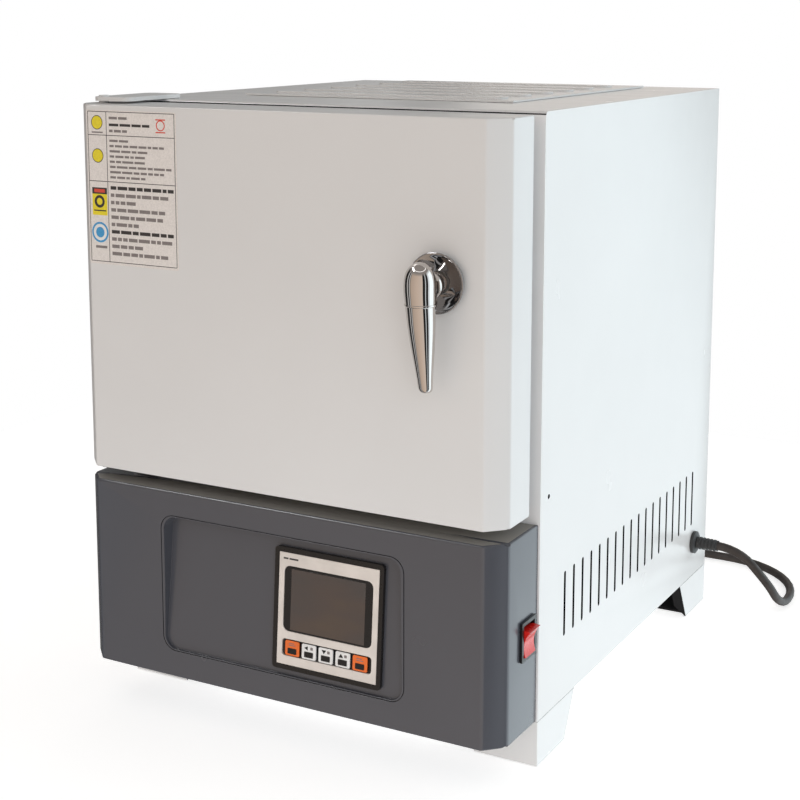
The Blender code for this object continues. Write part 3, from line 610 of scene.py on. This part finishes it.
def feet():
    """Folded corner feet; their outer faces carry the case's paint."""
    top = BASE_Z - GAP
    run = FOOT_TOP - FOOT_BOTTOM
    for name, side, front in (("foot_front_right", 1, True), ("foot_front_left", -1, True),
                              ("foot_rear_right", 1, False), ("foot_rear_left", -1, False)):
        def put(along, back):
            x = side * (HALF_W - along)
            return (x, back) if front else (x, DEPTH - back)

        def edge(inset, z):
            back = FOOT_BOTTOM + run * z / top - inset
            return (back if front else DEPTH - back, z)

        walls = plate([[put(0, 0), put(FOOT_TOP, 0), put(FOOT_TOP, SHEET), put(SHEET, SHEET),
                        put(SHEET, FOOT_TOP), put(0, FOOT_TOP)]], "z", 0.0, top)
        for vert in walls.verts:
            x, y = vert.co.x - CASE_X, vert.co.y - FRONT_Y - (0.0 if front else DEPTH)
            if vert.co.z < 0.001:
                if HALF_W - abs(x) > FOOT_TOP - 0.001:
                    vert.co.x += side * run
                if abs(y) > FOOT_TOP - 0.001:
                    vert.co.y += -run if front else run
        near, far = put(SHEET / 2, SHEET / 2), put(FOOT_BOTTOM - 0.006, FOOT_BOTTOM - 0.006)
        low = (min(near[0], far[0]), min(near[1], far[1]))
        high = (max(near[0], far[0]), max(near[1], far[1]))
        inner, outer = side * (HALF_W - FOOT_LIP), side * (HALF_W - SHEET / 2)
        lip = plate([[edge(0, 0.0), edge(0, top), edge(SHEET, top), edge(SHEET, 0.0)]], "x",
                    min(inner, outer), max(inner, outer))
        for vert in lip.verts:
            if vert.co.z < 0.001 and abs(vert.co.x - CASE_X - inner) < 0.001:
                vert.co.z += FOOT_LIP
                vert.co.y += (1 if front else -1) * run * FOOT_LIP / top
        body = carve(walls, [], [block((*low, 0.0), (*high, SHEET)), block((*low, top - SHEET), (*high, top)),
                                 lip])
        for face in body.faces:
            # Inner faces of the feet take the near-black coat: painted shade under the case
            x, y, z = face.calc_center_median() - ORIGIN
            painted = abs(x) > HALF_W - 0.0002 or y < 0.0002 or y > DEPTH - 0.0002
            face.material_index = 0 if painted else 1
        piece(name + "_shell", body, "case", ("case", "inner_painted_shade"), (name,), round_off=0.0003,
              steps=2)


def screws():
    """Cross-head screws of the rear panel and the fan guard."""
    bm = bmesh.new()
    spots = [(x, DEPTH + 0.0001, z) for x in (-0.178, 0.178) for z in (0.060, 0.190, 0.330, 0.465)]
    spots += [(FAN[0] + u, DEPTH + 0.0030, FAN[1] + v) for u in (-0.034, 0.034) for v in (-0.034, 0.034)]
    for x, y, z in spots:
        head = lathe([(0, -0.0009), (0.0034, -0.0009), (0.0035, 0.0), (0.0032, 0.0010), (0.0022, 0.0017),
                      (0, 0.0020)], (x, y - 0.0022 + 0.0009, z), (0, 1, 0), 20)
        cross = [block((x - 0.0018, y - 0.0004, z - 0.0004), (x + 0.0018, y + 0.002, z + 0.0004)),
                 block((x - 0.0004, y - 0.0004, z - 0.0018), (x + 0.0004, y + 0.002, z + 0.0018))]
        cut = carve(head, cross)
        mesh = bpy.data.meshes.new("screw")
        cut.to_mesh(mesh)
        cut.free()
        bm.from_mesh(mesh)
        bpy.data.meshes.remove(mesh)
    piece("rear_screws", bm, "case", "zinc")


# Fascia ------------------------------------------------------------------------------------------

def outline(size):
    """The rounded outline of the recess, drawn out by size."""
    return rounded(-RECESS_X - size, RECESS_Z[0] - size, RECESS_X + size, RECESS_Z[1] + size,
                   0.011 + size, 8)


def recess_block(grow):
    """The sloping recess as a solid, drawn out by grow on all sides and in depth."""
    bm = plate([outline(grow)], "y", FACE_Y - 0.010, FACE_Y + 0.010)
    for vert in bm.verts:
        if vert.co.y > FRONT_Y + FACE_Y:
            depth = RECESS_STEP + (vert.co.z - RECESS_Z[0]) * math.tan(RECESS_TILT)
            vert.co.x -= math.copysign(RECESS_DRAFT * depth, vert.co.x - CASE_X)
            vert.co.y = FRONT_Y + FACE_Y + depth + grow
    return bm


def fascia():
    outer = plate([face_plan(0.0, -GAP)], "z", BASE_Z, FASCIA_TOP)
    front = [edge for edge in outer.edges if not all(vert.co.y > FRONT_Y - 0.001 for vert in edge.verts)]
    bevel_edges(outer, front, 0.0020, 3)
    hollow = carve(plate([face_plan(SHEET, 0.005)], "z", BASE_Z + SHEET, FASCIA_TOP - SHEET),
                   [recess_block(SHEET)])
    hole = tilted(block((-0.0455, -0.010, 0.0025), (0.0455, 0.010, 0.0935)))
    y, z = ROCKER
    switch = block((0.180, y - 0.0116, z - 0.0141), (0.195, y + 0.0116, z + 0.0141))
    body = carve(outer, [hollow, recess_block(0.0), hole, switch,
                         plate([outline(0.0014), outline(0.0008)], "y", FACE_Y - 0.001, FACE_Y + 0.0012)])
    for face in body.faces:
        x, y, z = face.calc_center_median() - ORIGIN
        out = max(abs(x) - RECESS_X + 0.011, 0.0), max(abs(z - sum(RECESS_Z) / 2) - 0.04425, 0.0)
        # Faces in the groove round the recess take the near-black finish: a painted shadow line
        groove = 0.0117 < math.hypot(*out) < 0.0125 and 0.00005 < y - FACE_Y < 0.0013
        # The top faces take the lighter warm grey: painted light
        face.material_index = 1 if z > FASCIA_TOP - 0.0001 else 2 if groove else 0
    made = piece("fascia_body", body, "case", ("fascia", "painted_lit_top", "shadow"),
                 ("control_fascia",), round_off=0.0002, steps=2)
    made.modifiers["Bevel"].material = 0


def controller():
    half = PANEL / 2
    ring = plate([rounded(-half, 0, half, PANEL, 0.003, 5), rectangle(-0.0444, 0.0036, 0.0444, 0.0920)],
                 "y", -0.0036, -GAP)
    piece("controller_frame", tilted(ring), "case", "black", ("controller_bezel",),
          round_off=0.0007)
    window = (-0.0391, 0.0306, 0.0390, 0.0815)
    pane = plate([rounded(*window, 0.0047, 6)], "y", -0.0029, -0.0015)
    piece("window_pane", tilted(pane), "case", "satin_black", ("display_window",),
          round_off=0.0003)
    lcd = plate([rectangle(-0.0330, 0.0318, 0.0327, 0.0795)], "y", -0.00305, -0.0028)
    piece("screen_panel", tilted(lcd), "case", "screen", round_off=0.0001, steps=2)
    bars = [rectangle(x0, 0.0866, x1, 0.0879) for x0, x1 in ((-0.0405, -0.0362), (-0.0352, -0.0272))]
    caption = plate(bars, "y", -0.00328, -0.0031)
    piece("caption_bars", tilted(caption), "case", "line")
    strip = plate([rounded(-0.0395, 0.0112, 0.0395, 0.0240, 0.0023, 4)], "y", -0.0017, -0.0014)
    piece("key_strip", tilted(strip), "case", "satin_black")
    for index in range(KEY_COUNT):
        x = (index - KEY_COUNT // 2) * KEY_PITCH
        body = "key_%d" % (index + 1)
        finish = "orange" if index in (0, KEY_COUNT - 1) else "white"
        cap = plate([rounded(x - 0.0063, 0.0118, x + 0.0063, 0.0234, 0.0012, 4)], "y", -0.0036, -0.0026)
        piece(body + "_cap", tilted(cap), body, finish, (body,), round_off=0.0003)
        pad = plate([rounded(x - 0.0039, 0.0132, x + 0.0039, 0.0176, 0.0005, 3)], "y", -0.0039, -0.0034)
        marks = key_mark(index, x, pad)
        piece(body + "_pad", tilted(marks), body, ("satin_black", "grey_ink"))


def key_mark(index, x, bm):
    """A plain printed mark over each pad: bars on the end keys, arrows with a dot on the others."""
    low, high, z = -0.00372, -0.0034, 0.0204
    if index in (0, KEY_COUNT - 1):
        bars = [rectangle(x - 0.0030, z + 0.0006, x + 0.0018, z + 0.0011),
                rectangle(x - 0.0030, z - 0.0008, x + 0.0030, z - 0.0003)]
        return plate(bars, "y", low, high, bm, 1)
    x -= 0.0016
    arrow = {1: [(x - 0.0024, z), (x + 0.0006, z - 0.0016), (x + 0.0006, z + 0.0016)],
             2: [(x - 0.0020, z + 0.0014), (x, z - 0.0016), (x + 0.0020, z + 0.0014)],
             3: [(x - 0.0020, z - 0.0014), (x + 0.0020, z - 0.0014), (x, z + 0.0016)]}[index]
    plate([arrow], "y", low, high, bm)
    return plate([rounded(x + 0.0030, z - 0.0010, x + 0.0052, z + 0.0012, 0.0005, 3)], "y", low, high, bm, 1)


def switch():
    y, z = ROCKER
    opening = rectangle(y - 0.0094, z - 0.0123, y + 0.0094, z + 0.0123)
    ring = plate([rounded(y - 0.0127, z - 0.0153, y + 0.0127, z + 0.0153, 0.0012, 4), opening], "x",
                 FACE_X + GAP, FACE_X + 0.0022)
    tube = plate([rectangle(y - 0.0112, z - 0.0137, y + 0.0112, z + 0.0137), opening], "x",
                 0.166, FACE_X + 0.001)
    piece("switch_frame", carve(ring, [], [tube]), "case", "black", ("rocker_frame",),
          round_off=0.0005, steps=2)
    valley = []
    for step in range(13):
        v = 0.0103 - 0.0206 * step / 12
        valley.append((0.0074 + 0.0031 * (abs(v) / 0.0103) ** 2.0, v))
    section = [(-0.0045, 0.0070), (0.0055, 0.0102)] + valley + [(0.0055, -0.0102), (-0.0045, -0.0070)]
    cos, sin = math.cos(ROCKER_REST), math.sin(ROCKER_REST)
    section = [(ROCKER_AXIS_X + x * cos + v * sin, z + v * cos - x * sin) for x, v in section]
    cap = plate([section], "y", y - 0.0090, y + 0.0090)
    piece("rocker_cap", cap, "rocker", "red", ("rocker",), round_off=0.0002, steps=2)


# Door --------------------------------------------------------------------------------------------

def door():
    low, high = DOOR_Z
    outer = plate([face_plan(0.0, DOOR_BACK)], "z", low, high)
    bevel_edges(outer, outer.edges[:], 0.0013, 4)
    cutters = [plate([face_plan(SHEET, DOOR_BACK + 0.005)], "z", low + SHEET, high - SHEET),
               bar((*HINGE, low - 0.01), (*HINGE, high + 0.01), 0.0043),
               bar((KNOB[0], FACE_Y - 0.01, KNOB[1]), (KNOB[0], 0.0, KNOB[1]), 0.0045)]
    # The skin takes the greyer door copy of the case white: painted shade
    piece("door_skin", carve(outer, cutters), "door", "door", ("door_shell",))
    plug = block((-0.098, DOOR_BACK + GAP, 0.2755), (0.098, 0.020, 0.4205))
    middle = spot(0, 0, (0.2755 + 0.4205) / 2)
    for vert in plug.verts:
        if vert.co.y > FRONT_Y:
            vert.co.x += math.copysign(0.008, middle.x - vert.co.x)
            vert.co.z += math.copysign(0.004, middle.z - vert.co.z)
    piece("door_plug_block", plug, "door", "fibre", ("door_plug",), round_off=0.0015)
    seal = plate([rounded(-0.125, 0.248, 0.125, 0.448, 0.010, 6),
                  rounded(-0.106, 0.267, 0.106, 0.429, 0.006, 6)], "y", DOOR_BACK + GAP, -GAP)
    piece("seal_rope", seal, "case", "rope", ("door_seal",), round_off=0.0050, steps=5)


def cover_ribs():
    """Shallow stiffening ribs pressed up across the service cover."""
    bm = bmesh.new()
    for index in range(6):
        y = 0.110 + 0.045 * index
        plate([rounded(-0.108, y - 0.009, 0.108, y + 0.009, 0.008, 6)], "z",
              TOP_Z + 0.0016, TOP_Z + 0.0033, bm)
    piece("cover_ribs", bm, "case", "case", round_off=0.0014, steps=4)


def hinges():
    x, y = HINGE
    top = plate([rounded(-0.1815, -0.0490, -0.146, 0.026, 0.0080, 8)], "z", TOP_Z + 0.0003, TOP_Z + 0.0035)
    pivot = bar((x, y, DOOR_Z[1] - 0.012), (x, y, TOP_Z + 0.0045), 0.0040, 32)
    piece("upper_hinge", carve(top, [], [pivot]), "case", "case", ("hinge_top",),
          round_off=0.0005)


def handle():
    x, z = KNOB
    rose = [(0.0088, 0.0003), (0.0088, 0.0014), (0.0120, 0.0020), (0.0160, 0.0036), (0.0192, 0.0056),
            (0.0205, 0.0066), (0.0212, 0.0068), (0.0218, 0.0066), (0.0220, 0.0061), (0.0217, 0.0050),
            (0.0205, 0.0020), (0.0198, 0.0003)]
    piece("handle_cup", lathe(rose, (x, FACE_Y, z), (0, -1, 0), 96), "door", "rose",
          ("handle_rose",), smooth=50)
    profile = [(0.0, -0.0755), (0.0016, -0.0754), (0.0030, -0.0750), (0.0041, -0.0743), (0.0048, -0.0732),
               (0.0052, -0.0716), (0.0054, -0.0690), (0.0057, -0.0650), (0.0064, -0.0590), (0.0074, -0.0505),
               (0.0084, -0.0420), (0.0093, -0.0330), (0.0100, -0.0235), (0.0104, -0.0160), (0.0106, -0.0127),
               (0.0107, -0.0123), (0.0111, -0.0121), (0.0113, -0.0117), (0.0113, -0.0111), (0.0111, -0.0107),
               (0.0109, -0.0105), (0.0108, -0.0101), (0.0112, -0.0060), (0.0113, -0.0010), (0.0113, 0.0035),
               (0.0110, 0.0065), (0.0104, 0.0094), (0.0094, 0.0120), (0.0079, 0.0144), (0.0060, 0.0163),
               (0.0038, 0.0176), (0.0018, 0.0181), (0.0, 0.0182)]
    lever = lathe(profile, (x, LEVER_Y, z), (0, 0, 1), 96)
    for vert in lever.verts:
        vert.co.y += LEVER_BOW * max(0.0, (z - vert.co.z) / LEVER_LENGTH) ** 1.2
    neck = [(0.0, 0.0), (0.0082, 0.0), (0.0084, 0.0003), (0.0084, 0.0124), (0.0092, 0.0130), (0.0100, 0.0134),
            (0.0101, 0.0140), (0.0101, 0.0154), (0.0098, 0.0158), (0.0098, 0.0250), (0.0, 0.0250)]
    body = carve(lever, [], [lathe(neck, (x, FACE_Y - 0.0006, z), (0, -1, 0), 64)])
    piece("lever", body, "handle", "chrome", ("handle_lever",), smooth=42)


# Label -------------------------------------------------------------------------------------------

def label():
    """A plain ruled sticker on the door: blank bars and shapes, no lettering."""
    x0, x1, z0, z1 = -0.1722, -0.0885, 0.3710, 0.4892
    width, height = x1 - x0, z1 - z0
    finishes = ["paper", "line", "grey_ink", "yellow", "red_ink", "blue", "white"]
    bm = plate([rounded(x0 - 0.0016, z0 - 0.0022, x1 + 0.0016, z1 + 0.0012, 0.0015, 4)], "y",
               FACE_Y - 0.00022, FACE_Y - 0.00002)

    def at(u, v):
        return x0 + u * width, z1 - v * height

    def patch(u0, v0, u1, v1, slot, rise=1):
        (ax, az), (bx, bz) = at(u0, v0), at(u1, v1)
        block((ax, FACE_Y - 0.00022 - 0.00004 * rise, bz), (bx, FACE_Y - 0.0002, az), bm, slot)

    def disc(u, v, radius, slot, rise=1, inner=None):
        x, z = at(u, v)
        rings = [circle(x, z, radius)] + ([circle(x, z, inner)] if inner else [])
        plate(rings, "y", FACE_Y - 0.00022 - 0.00004 * rise, FACE_Y - 0.0002, bm, slot)

    thin = 0.0045
    for v in (0.0, 0.155, 0.462, 1.0):
        patch(0.0, v - thin / 2, 1.0, v + thin / 2, 1)
    for u in (0.0, 0.218, 1.0):
        patch(u - thin * 0.7, 0.0, u + thin * 0.7, 1.0, 1)

    rng = random.Random(5)

    def words(v, end, size, slot):
        """One row of blank word bars."""
        u = 0.250
        while u < end - 0.05:
            length = rng.uniform(0.04, 0.13)
            patch(u, v - size / 2, min(u + length, end), v + size / 2, slot)
            u += length + 0.014

    for v, end, slot in ((0.040, 0.46, 2), (0.085, 0.72, 1), (0.125, 0.46, 2)):
        words(v, end, 0.017, slot)
    for index, end in enumerate((0.47, 0.88, 0.74, 0.66, 0.66, 0.96, 0.90, 0.66)):
        words(0.190 + 0.0345 * index, end, 0.015, 2)
    for index, end in enumerate((0.98, 0.95, 0.54, 0.93, 0.85, 0.57, 0.97, 0.95, 0.62, 0.90)):
        words(0.502 + 0.0488 * index, end, 0.023, 1 if index in (0, 6) else 2)

    for v in (0.072, 0.292):
        disc(0.108, v, 0.0056, 1, 1)
        disc(0.108, v, 0.0050, 3, 2)
    patch(0.045, 0.133, 0.175, 0.142, 2)
    disc(0.845, 0.078, 0.0042, 4, 1, 0.0033)
    patch(0.790, 0.036, 0.900, 0.044, 4)
    patch(0.790, 0.118, 0.900, 0.126, 4)
    patch(0.030, 0.505, 0.205, 0.548, 1)
    patch(0.055, 0.515, 0.180, 0.538, 4, 2)
    patch(0.030, 0.548, 0.205, 0.690, 3)
    disc(0.115, 0.598, 0.0050, 1, 2, 0.0028)
    patch(0.045, 0.655, 0.190, 0.663, 1, 2)
    disc(0.112, 0.805, 0.0082, 5, 1)
    disc(0.112, 0.805, 0.0066, 6, 2, 0.0042)
    patch(0.055, 0.895, 0.190, 0.912, 2)
    piece("door_label", bm, "door", finishes)


# Chamber and electrics ---------------------------------------------------------------------------

def heating_wires():
    """Coiled resistance wire laid in hairpins on both walls."""
    for name, side in (("left", -1), ("right", 1)):
        x = side * 0.0976
        path = []
        for row in range(6):
            z = 0.2920 + 0.022 * row
            near, far = (0.040, 0.276) if row % 2 == 0 else (0.276, 0.040)
            path += [Vector((x, near, z)), Vector((x, far, z))]
            if row < 5:
                bow = 0.005 if row % 2 == 0 else -0.005
                path += [Vector((x, far + bow, z + 0.006)), Vector((x, far + bow, z + 0.016))]
        points = []
        turn = 0.0
        for start, end in zip(path, path[1:]):
            along = end - start
            count = max(2, int(along.length / 0.0004))
            forward = along.normalized()
            up = Vector((1, 0, 0)).cross(forward)
            for step in range(count):
                turn += math.tau * (along.length / count) / 0.0030
                around = Vector((1, 0, 0)) * math.cos(turn) + up * math.sin(turn)
                points.append(start + along * step / count + around * 0.00145)
        obj = strand("wire_" + name, points, 0.00048, 1, "wire")
        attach(obj, "case")
        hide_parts("heating_element_" + name)


def hearth():
    low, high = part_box("hearth_plate")
    bm = block(low - ORIGIN, high - ORIGIN)
    piece("hearth_slab", bm, "case", "clay", ("hearth_plate",), round_off=0.0012)


# Mains lead --------------------------------------------------------------------------------------

def relief_sleeve():
    """The slim ribbed sleeve behind the gland nut."""
    inner = CORD_R + 0.0002
    profile = [(inner, 0.0002), (inner, 0.0195), (0.0050, 0.0198)]
    for rib in range(5, 0, -1):
        height, radius = 0.0034 * rib, 0.0061 - 0.00012 * rib
        profile += [(radius - 0.0008, height + 0.0009), (radius, height + 0.0004), (radius, height - 0.0012),
                    (radius - 0.0008, height - 0.0017)]
    profile.append((0.0056, 0.0002))
    sleeve = lathe(profile, (HALF_W + 0.0048, *GLAND), (1, 0, 0), 48)
    piece("relief_sleeve", sleeve, "case", "gland", ("strain_relief",))


def lead_points():
    place = Vector(LEAD_START)
    points = [place.copy()]
    heading, dip = 0.0, 0.0
    for length, turn, drop, steps in LEAD_LEGS:
        for _ in range(steps):
            heading += math.radians(turn) / steps / 2
            dip += math.radians(drop) / steps / 2
            level = math.cos(dip) * length / steps
            place += Vector((level * math.cos(heading), level * math.sin(heading),
                             -math.sin(dip) * length / steps))
            heading += math.radians(turn) / steps / 2
            dip += math.radians(drop) / steps / 2
            points.append(place.copy())
    return points


def mains_lead():
    points = lead_points()
    end = points[-1]
    centre = Vector((COIL_X, end.y - COIL_R, end.z))
    rise = 2 * CORD_R + 0.0003
    points.append(Vector((COIL_X + 0.040, end.y, end.z)))
    points.append(Vector((COIL_X + 0.020, end.y, end.z)))
    turns = TURN_STEPS * COIL_TURNS
    for step in range(turns + 1):
        angle = math.pi / 2 + math.tau * step / TURN_STEPS
        climb = rise * (COIL_TURNS - 1) * min(1.0, step / (turns - 8))
        points.append(centre + Vector((COIL_R * math.cos(angle), COIL_R * math.sin(angle), climb)))
    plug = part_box("mains_plug")
    rear = plug[1].x - CASE_X
    last = Vector((rear - 0.006, end.y, (plug[0].z + plug[1].z) / 2))
    first = points[-1]
    for step in range(1, 6):
        share = step / 5
        smooth = share * share * (3 - 2 * share)
        points.append(Vector((first.x + (last.x - first.x) * share, end.y,
                              first.z + (last.z - first.z) * smooth)))
    obj = strand("mains_cord", points, CORD_R - 0.0002, 5, "sheath")
    obj.data.splines[0].use_smooth = True
    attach(obj, "case")
    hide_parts("power_cord", "cord_coil")


# Carried CAD nodes -------------------------------------------------------------------------------

CARRIED = {
    "case": ("base_pan", "rear_panel", "divider_shelf", "service_cover"),
    "black": ("controller_housing", "solid_state_relay", "fan_frame", "fan_rotor"),
    "cream": ("controller_face", "terminal_block"),
    "zinc": ("door_back_plate", "latch_keeper", "handle_spindle", "fan_guard"),
    "aluminium": ("heat_sink",),
    "fibre": ("door_core", "lining_floor", "lining_roof", "lining_left", "lining_right", "lining_back"),
    "probe": ("thermocouple",),
    # The lower hinge takes the black nylon finish so that it reads as the shade in the gap under the door:
    # painted shade
    "gland": ("cable_gland", "hinge_bottom"),
    "sheath": ("mains_plug",),
}


def finish_nodes():
    for finish, names in CARRIED.items():
        for name in names:
            mesh = nodes[name].data
            mesh.materials.clear()
            mesh.materials.append(MAT[finish])


# Studio ------------------------------------------------------------------------------------------

# Radiance of the studio walls by azimuth, as a share of a turn from -x through -y, +x and +y
WALLS = (
    (0.050, 0.03), (0.056, 0.75), (0.070, 0.75), (0.076, 0.03), (0.102, 0.03), (0.108, 0.70), (0.118, 0.70),
    (0.130, 0.05), (0.142, (0.58, 0.47, 0.38)), (0.280, (0.76, 0.62, 0.51)), (0.385, (0.80, 0.69, 0.60)),
    (0.390, 0.02), (0.436, 0.02), (0.440, (0.80, 0.88, 0.92)), (0.452, (0.80, 0.88, 0.92)), (0.456, 0.03),
    (0.500, 0.03), (0.508, (1.00, 1.10, 1.16)), (0.530, (1.00, 1.10, 1.16)), (0.545, (1.46, 1.64, 1.71)),
    (0.716, (1.46, 1.64, 1.71)), (0.728, 0.20), (0.785, (0.55, 0.50, 0.46)), (0.795, (0.90, 0.82, 0.76)),
    (0.8225, (0.85, 0.80, 0.75)), (0.8245, 0.10), (0.8305, 0.10), (0.8325, 0.60), (0.8380, 0.32),
    (0.850, 0.34), (0.870, 0.20), (0.930, 0.06),
)
WALLS_TOP = 2.4
CEILING = (0.34, 0.315, 0.298)
FLOOR_GLOW = 0.66
FLOOR = 0.85
LAMP_REACH = 2.4
WHITE = (1.0, 1.0, 1.0, 1.0)


def share(tree, source, low, high):
    """Where a value lies between low and high, from 0 to 1."""
    node = tree.nodes.new("ShaderNodeMapRange")
    node.inputs["From Min"].default_value = low
    node.inputs["From Max"].default_value = high
    tree.links.new(source, node.inputs["Value"])
    return node.outputs["Result"]


def blend(tree, factor, below, color):
    """Lays a fixed colour over another by a factor from 0 to 1."""
    node = tree.nodes.new("ShaderNodeMix")
    node.data_type = "RGBA"
    tree.links.new(factor, node.inputs[0])
    tree.links.new(below, node.inputs[6])
    node.inputs[7].default_value = color
    return node.outputs[2]


def studio_floor():
    """A glowing white ground that mirrors don't see."""
    bm = bmesh.new()
    bmesh.ops.create_grid(bm, x_segments=1, y_segments=1, size=FLOOR,
                          matrix=Matrix.Translation((0, 0, -0.0003)))
    mesh = bpy.data.meshes.new("floor")
    bm.to_mesh(mesh)
    bm.free()
    material, tree, shader = principled("studio_floor", (0.75, 0.75, 0.75), 0.8, Emission_Strength=FLOOR_GLOW)
    shader.inputs["Emission Color"].default_value = WHITE
    vary(tree, shader, "Base Color", noise(tree, 1.5, 2.0), [(0.3, 0.745), (0.7, 0.755)])
    mesh.materials.append(material)
    floor = bpy.data.objects.new("floor", mesh)
    floor.visible_glossy = False
    bpy.context.scene.collection.objects.link(floor)


def studio_world():
    """Walls by azimuth, a plain ceiling with a ring of tubes, and white for the camera itself."""
    world = bpy.data.worlds.new("studio")
    bpy.context.scene.world = world
    world.use_nodes = True
    tree = world.node_tree
    tree.nodes.clear()
    coords = tree.nodes.new("ShaderNodeTexCoord")
    split = tree.nodes.new("ShaderNodeSeparateXYZ")
    tree.links.new(coords.outputs["Generated"], split.inputs["Vector"])
    around = tree.nodes.new("ShaderNodeMath")
    around.operation = "ARCTAN2"
    tree.links.new(split.outputs["Y"], around.inputs[0])
    tree.links.new(split.outputs["X"], around.inputs[1])
    walls = ramp(tree, share(tree, around.outputs["Value"], -math.pi, math.pi),
                 [(place, tint(value if isinstance(value, tuple) else (value, value, value), 1 / WALLS_TOP))
                  for place, value in WALLS])
    height = split.outputs["Z"]
    ceiling = blend(tree, share(tree, height, 0.45, 0.65), walls, (*tint(CEILING, 1 / WALLS_TOP), 1.0))
    ring = ramp(tree, height, [(0.79, 0.0), (0.80, 1.0), (0.812, 1.0), (0.822, 0.0)])
    room = tree.nodes.new("ShaderNodeBackground")
    room.inputs["Strength"].default_value = WALLS_TOP
    tree.links.new(blend(tree, ring, ceiling, WHITE), room.inputs["Color"])
    plain = tree.nodes.new("ShaderNodeBackground")
    plain.inputs["Color"].default_value = WHITE
    path = tree.nodes.new("ShaderNodeLightPath")
    mix = tree.nodes.new("ShaderNodeMixShader")
    output = tree.nodes.new("ShaderNodeOutputWorld")
    tree.links.new(path.outputs["Is Camera Ray"], mix.inputs["Fac"])
    tree.links.new(room.outputs["Background"], mix.inputs[1])
    tree.links.new(plain.outputs["Background"], mix.inputs[2])
    tree.links.new(mix.outputs["Shader"], output.inputs["Surface"])


def lamp(name, location, target, size, power):
    data = bpy.data.lights.new(name, "AREA")
    data.size = size
    data.energy = power
    obj = bpy.data.objects.new(name, data)
    obj.location = location
    aim = Vector(target) - obj.location
    obj.rotation_euler = aim.to_track_quat("-Z", "Y").to_euler()
    bpy.context.scene.collection.objects.link(obj)
    return obj


def lamps():
    # Broad soft boxes that light the finishes without showing up in the chrome
    for name, azimuth, height, size, power, color in (
            ("key", -48.0, 0.95, 1.5, 9.5, (0.78, 0.92, 1.0)),
            ("fill", -88.0, 0.80, 1.8, 4.2, (0.94, 0.96, 1.0))):
        turn = math.radians(azimuth)
        place = (LAMP_REACH * math.cos(turn), LAMP_REACH * math.sin(turn), height)
        soft_box = lamp(name, place, (0.0, 0.0, 0.25), size, power)
        soft_box.data.color = color
        soft_box.visible_glossy = False

    # A high strip that only shows as a bright line along the rounded front edges
    strip = lamp("strip", (-1.5, -1.0, 2.6), (0.0, -0.1, 0.3), 1.6, 26.0)
    strip.data.shape = "RECTANGLE"
    strip.data.size_y = 0.35
    strip.visible_diffuse = False


camera()
relief_sleeve()
mains_lead()
case_shell()
feet()
screws()
fascia()
controller()
switch()
door()
cover_ribs()
hinges()
handle()
label()
heating_wires()
hearth()
finish_nodes()
studio_floor()
studio_world()
lamps()
bpy.context.scene.view_settings.view_transform = "Standard"
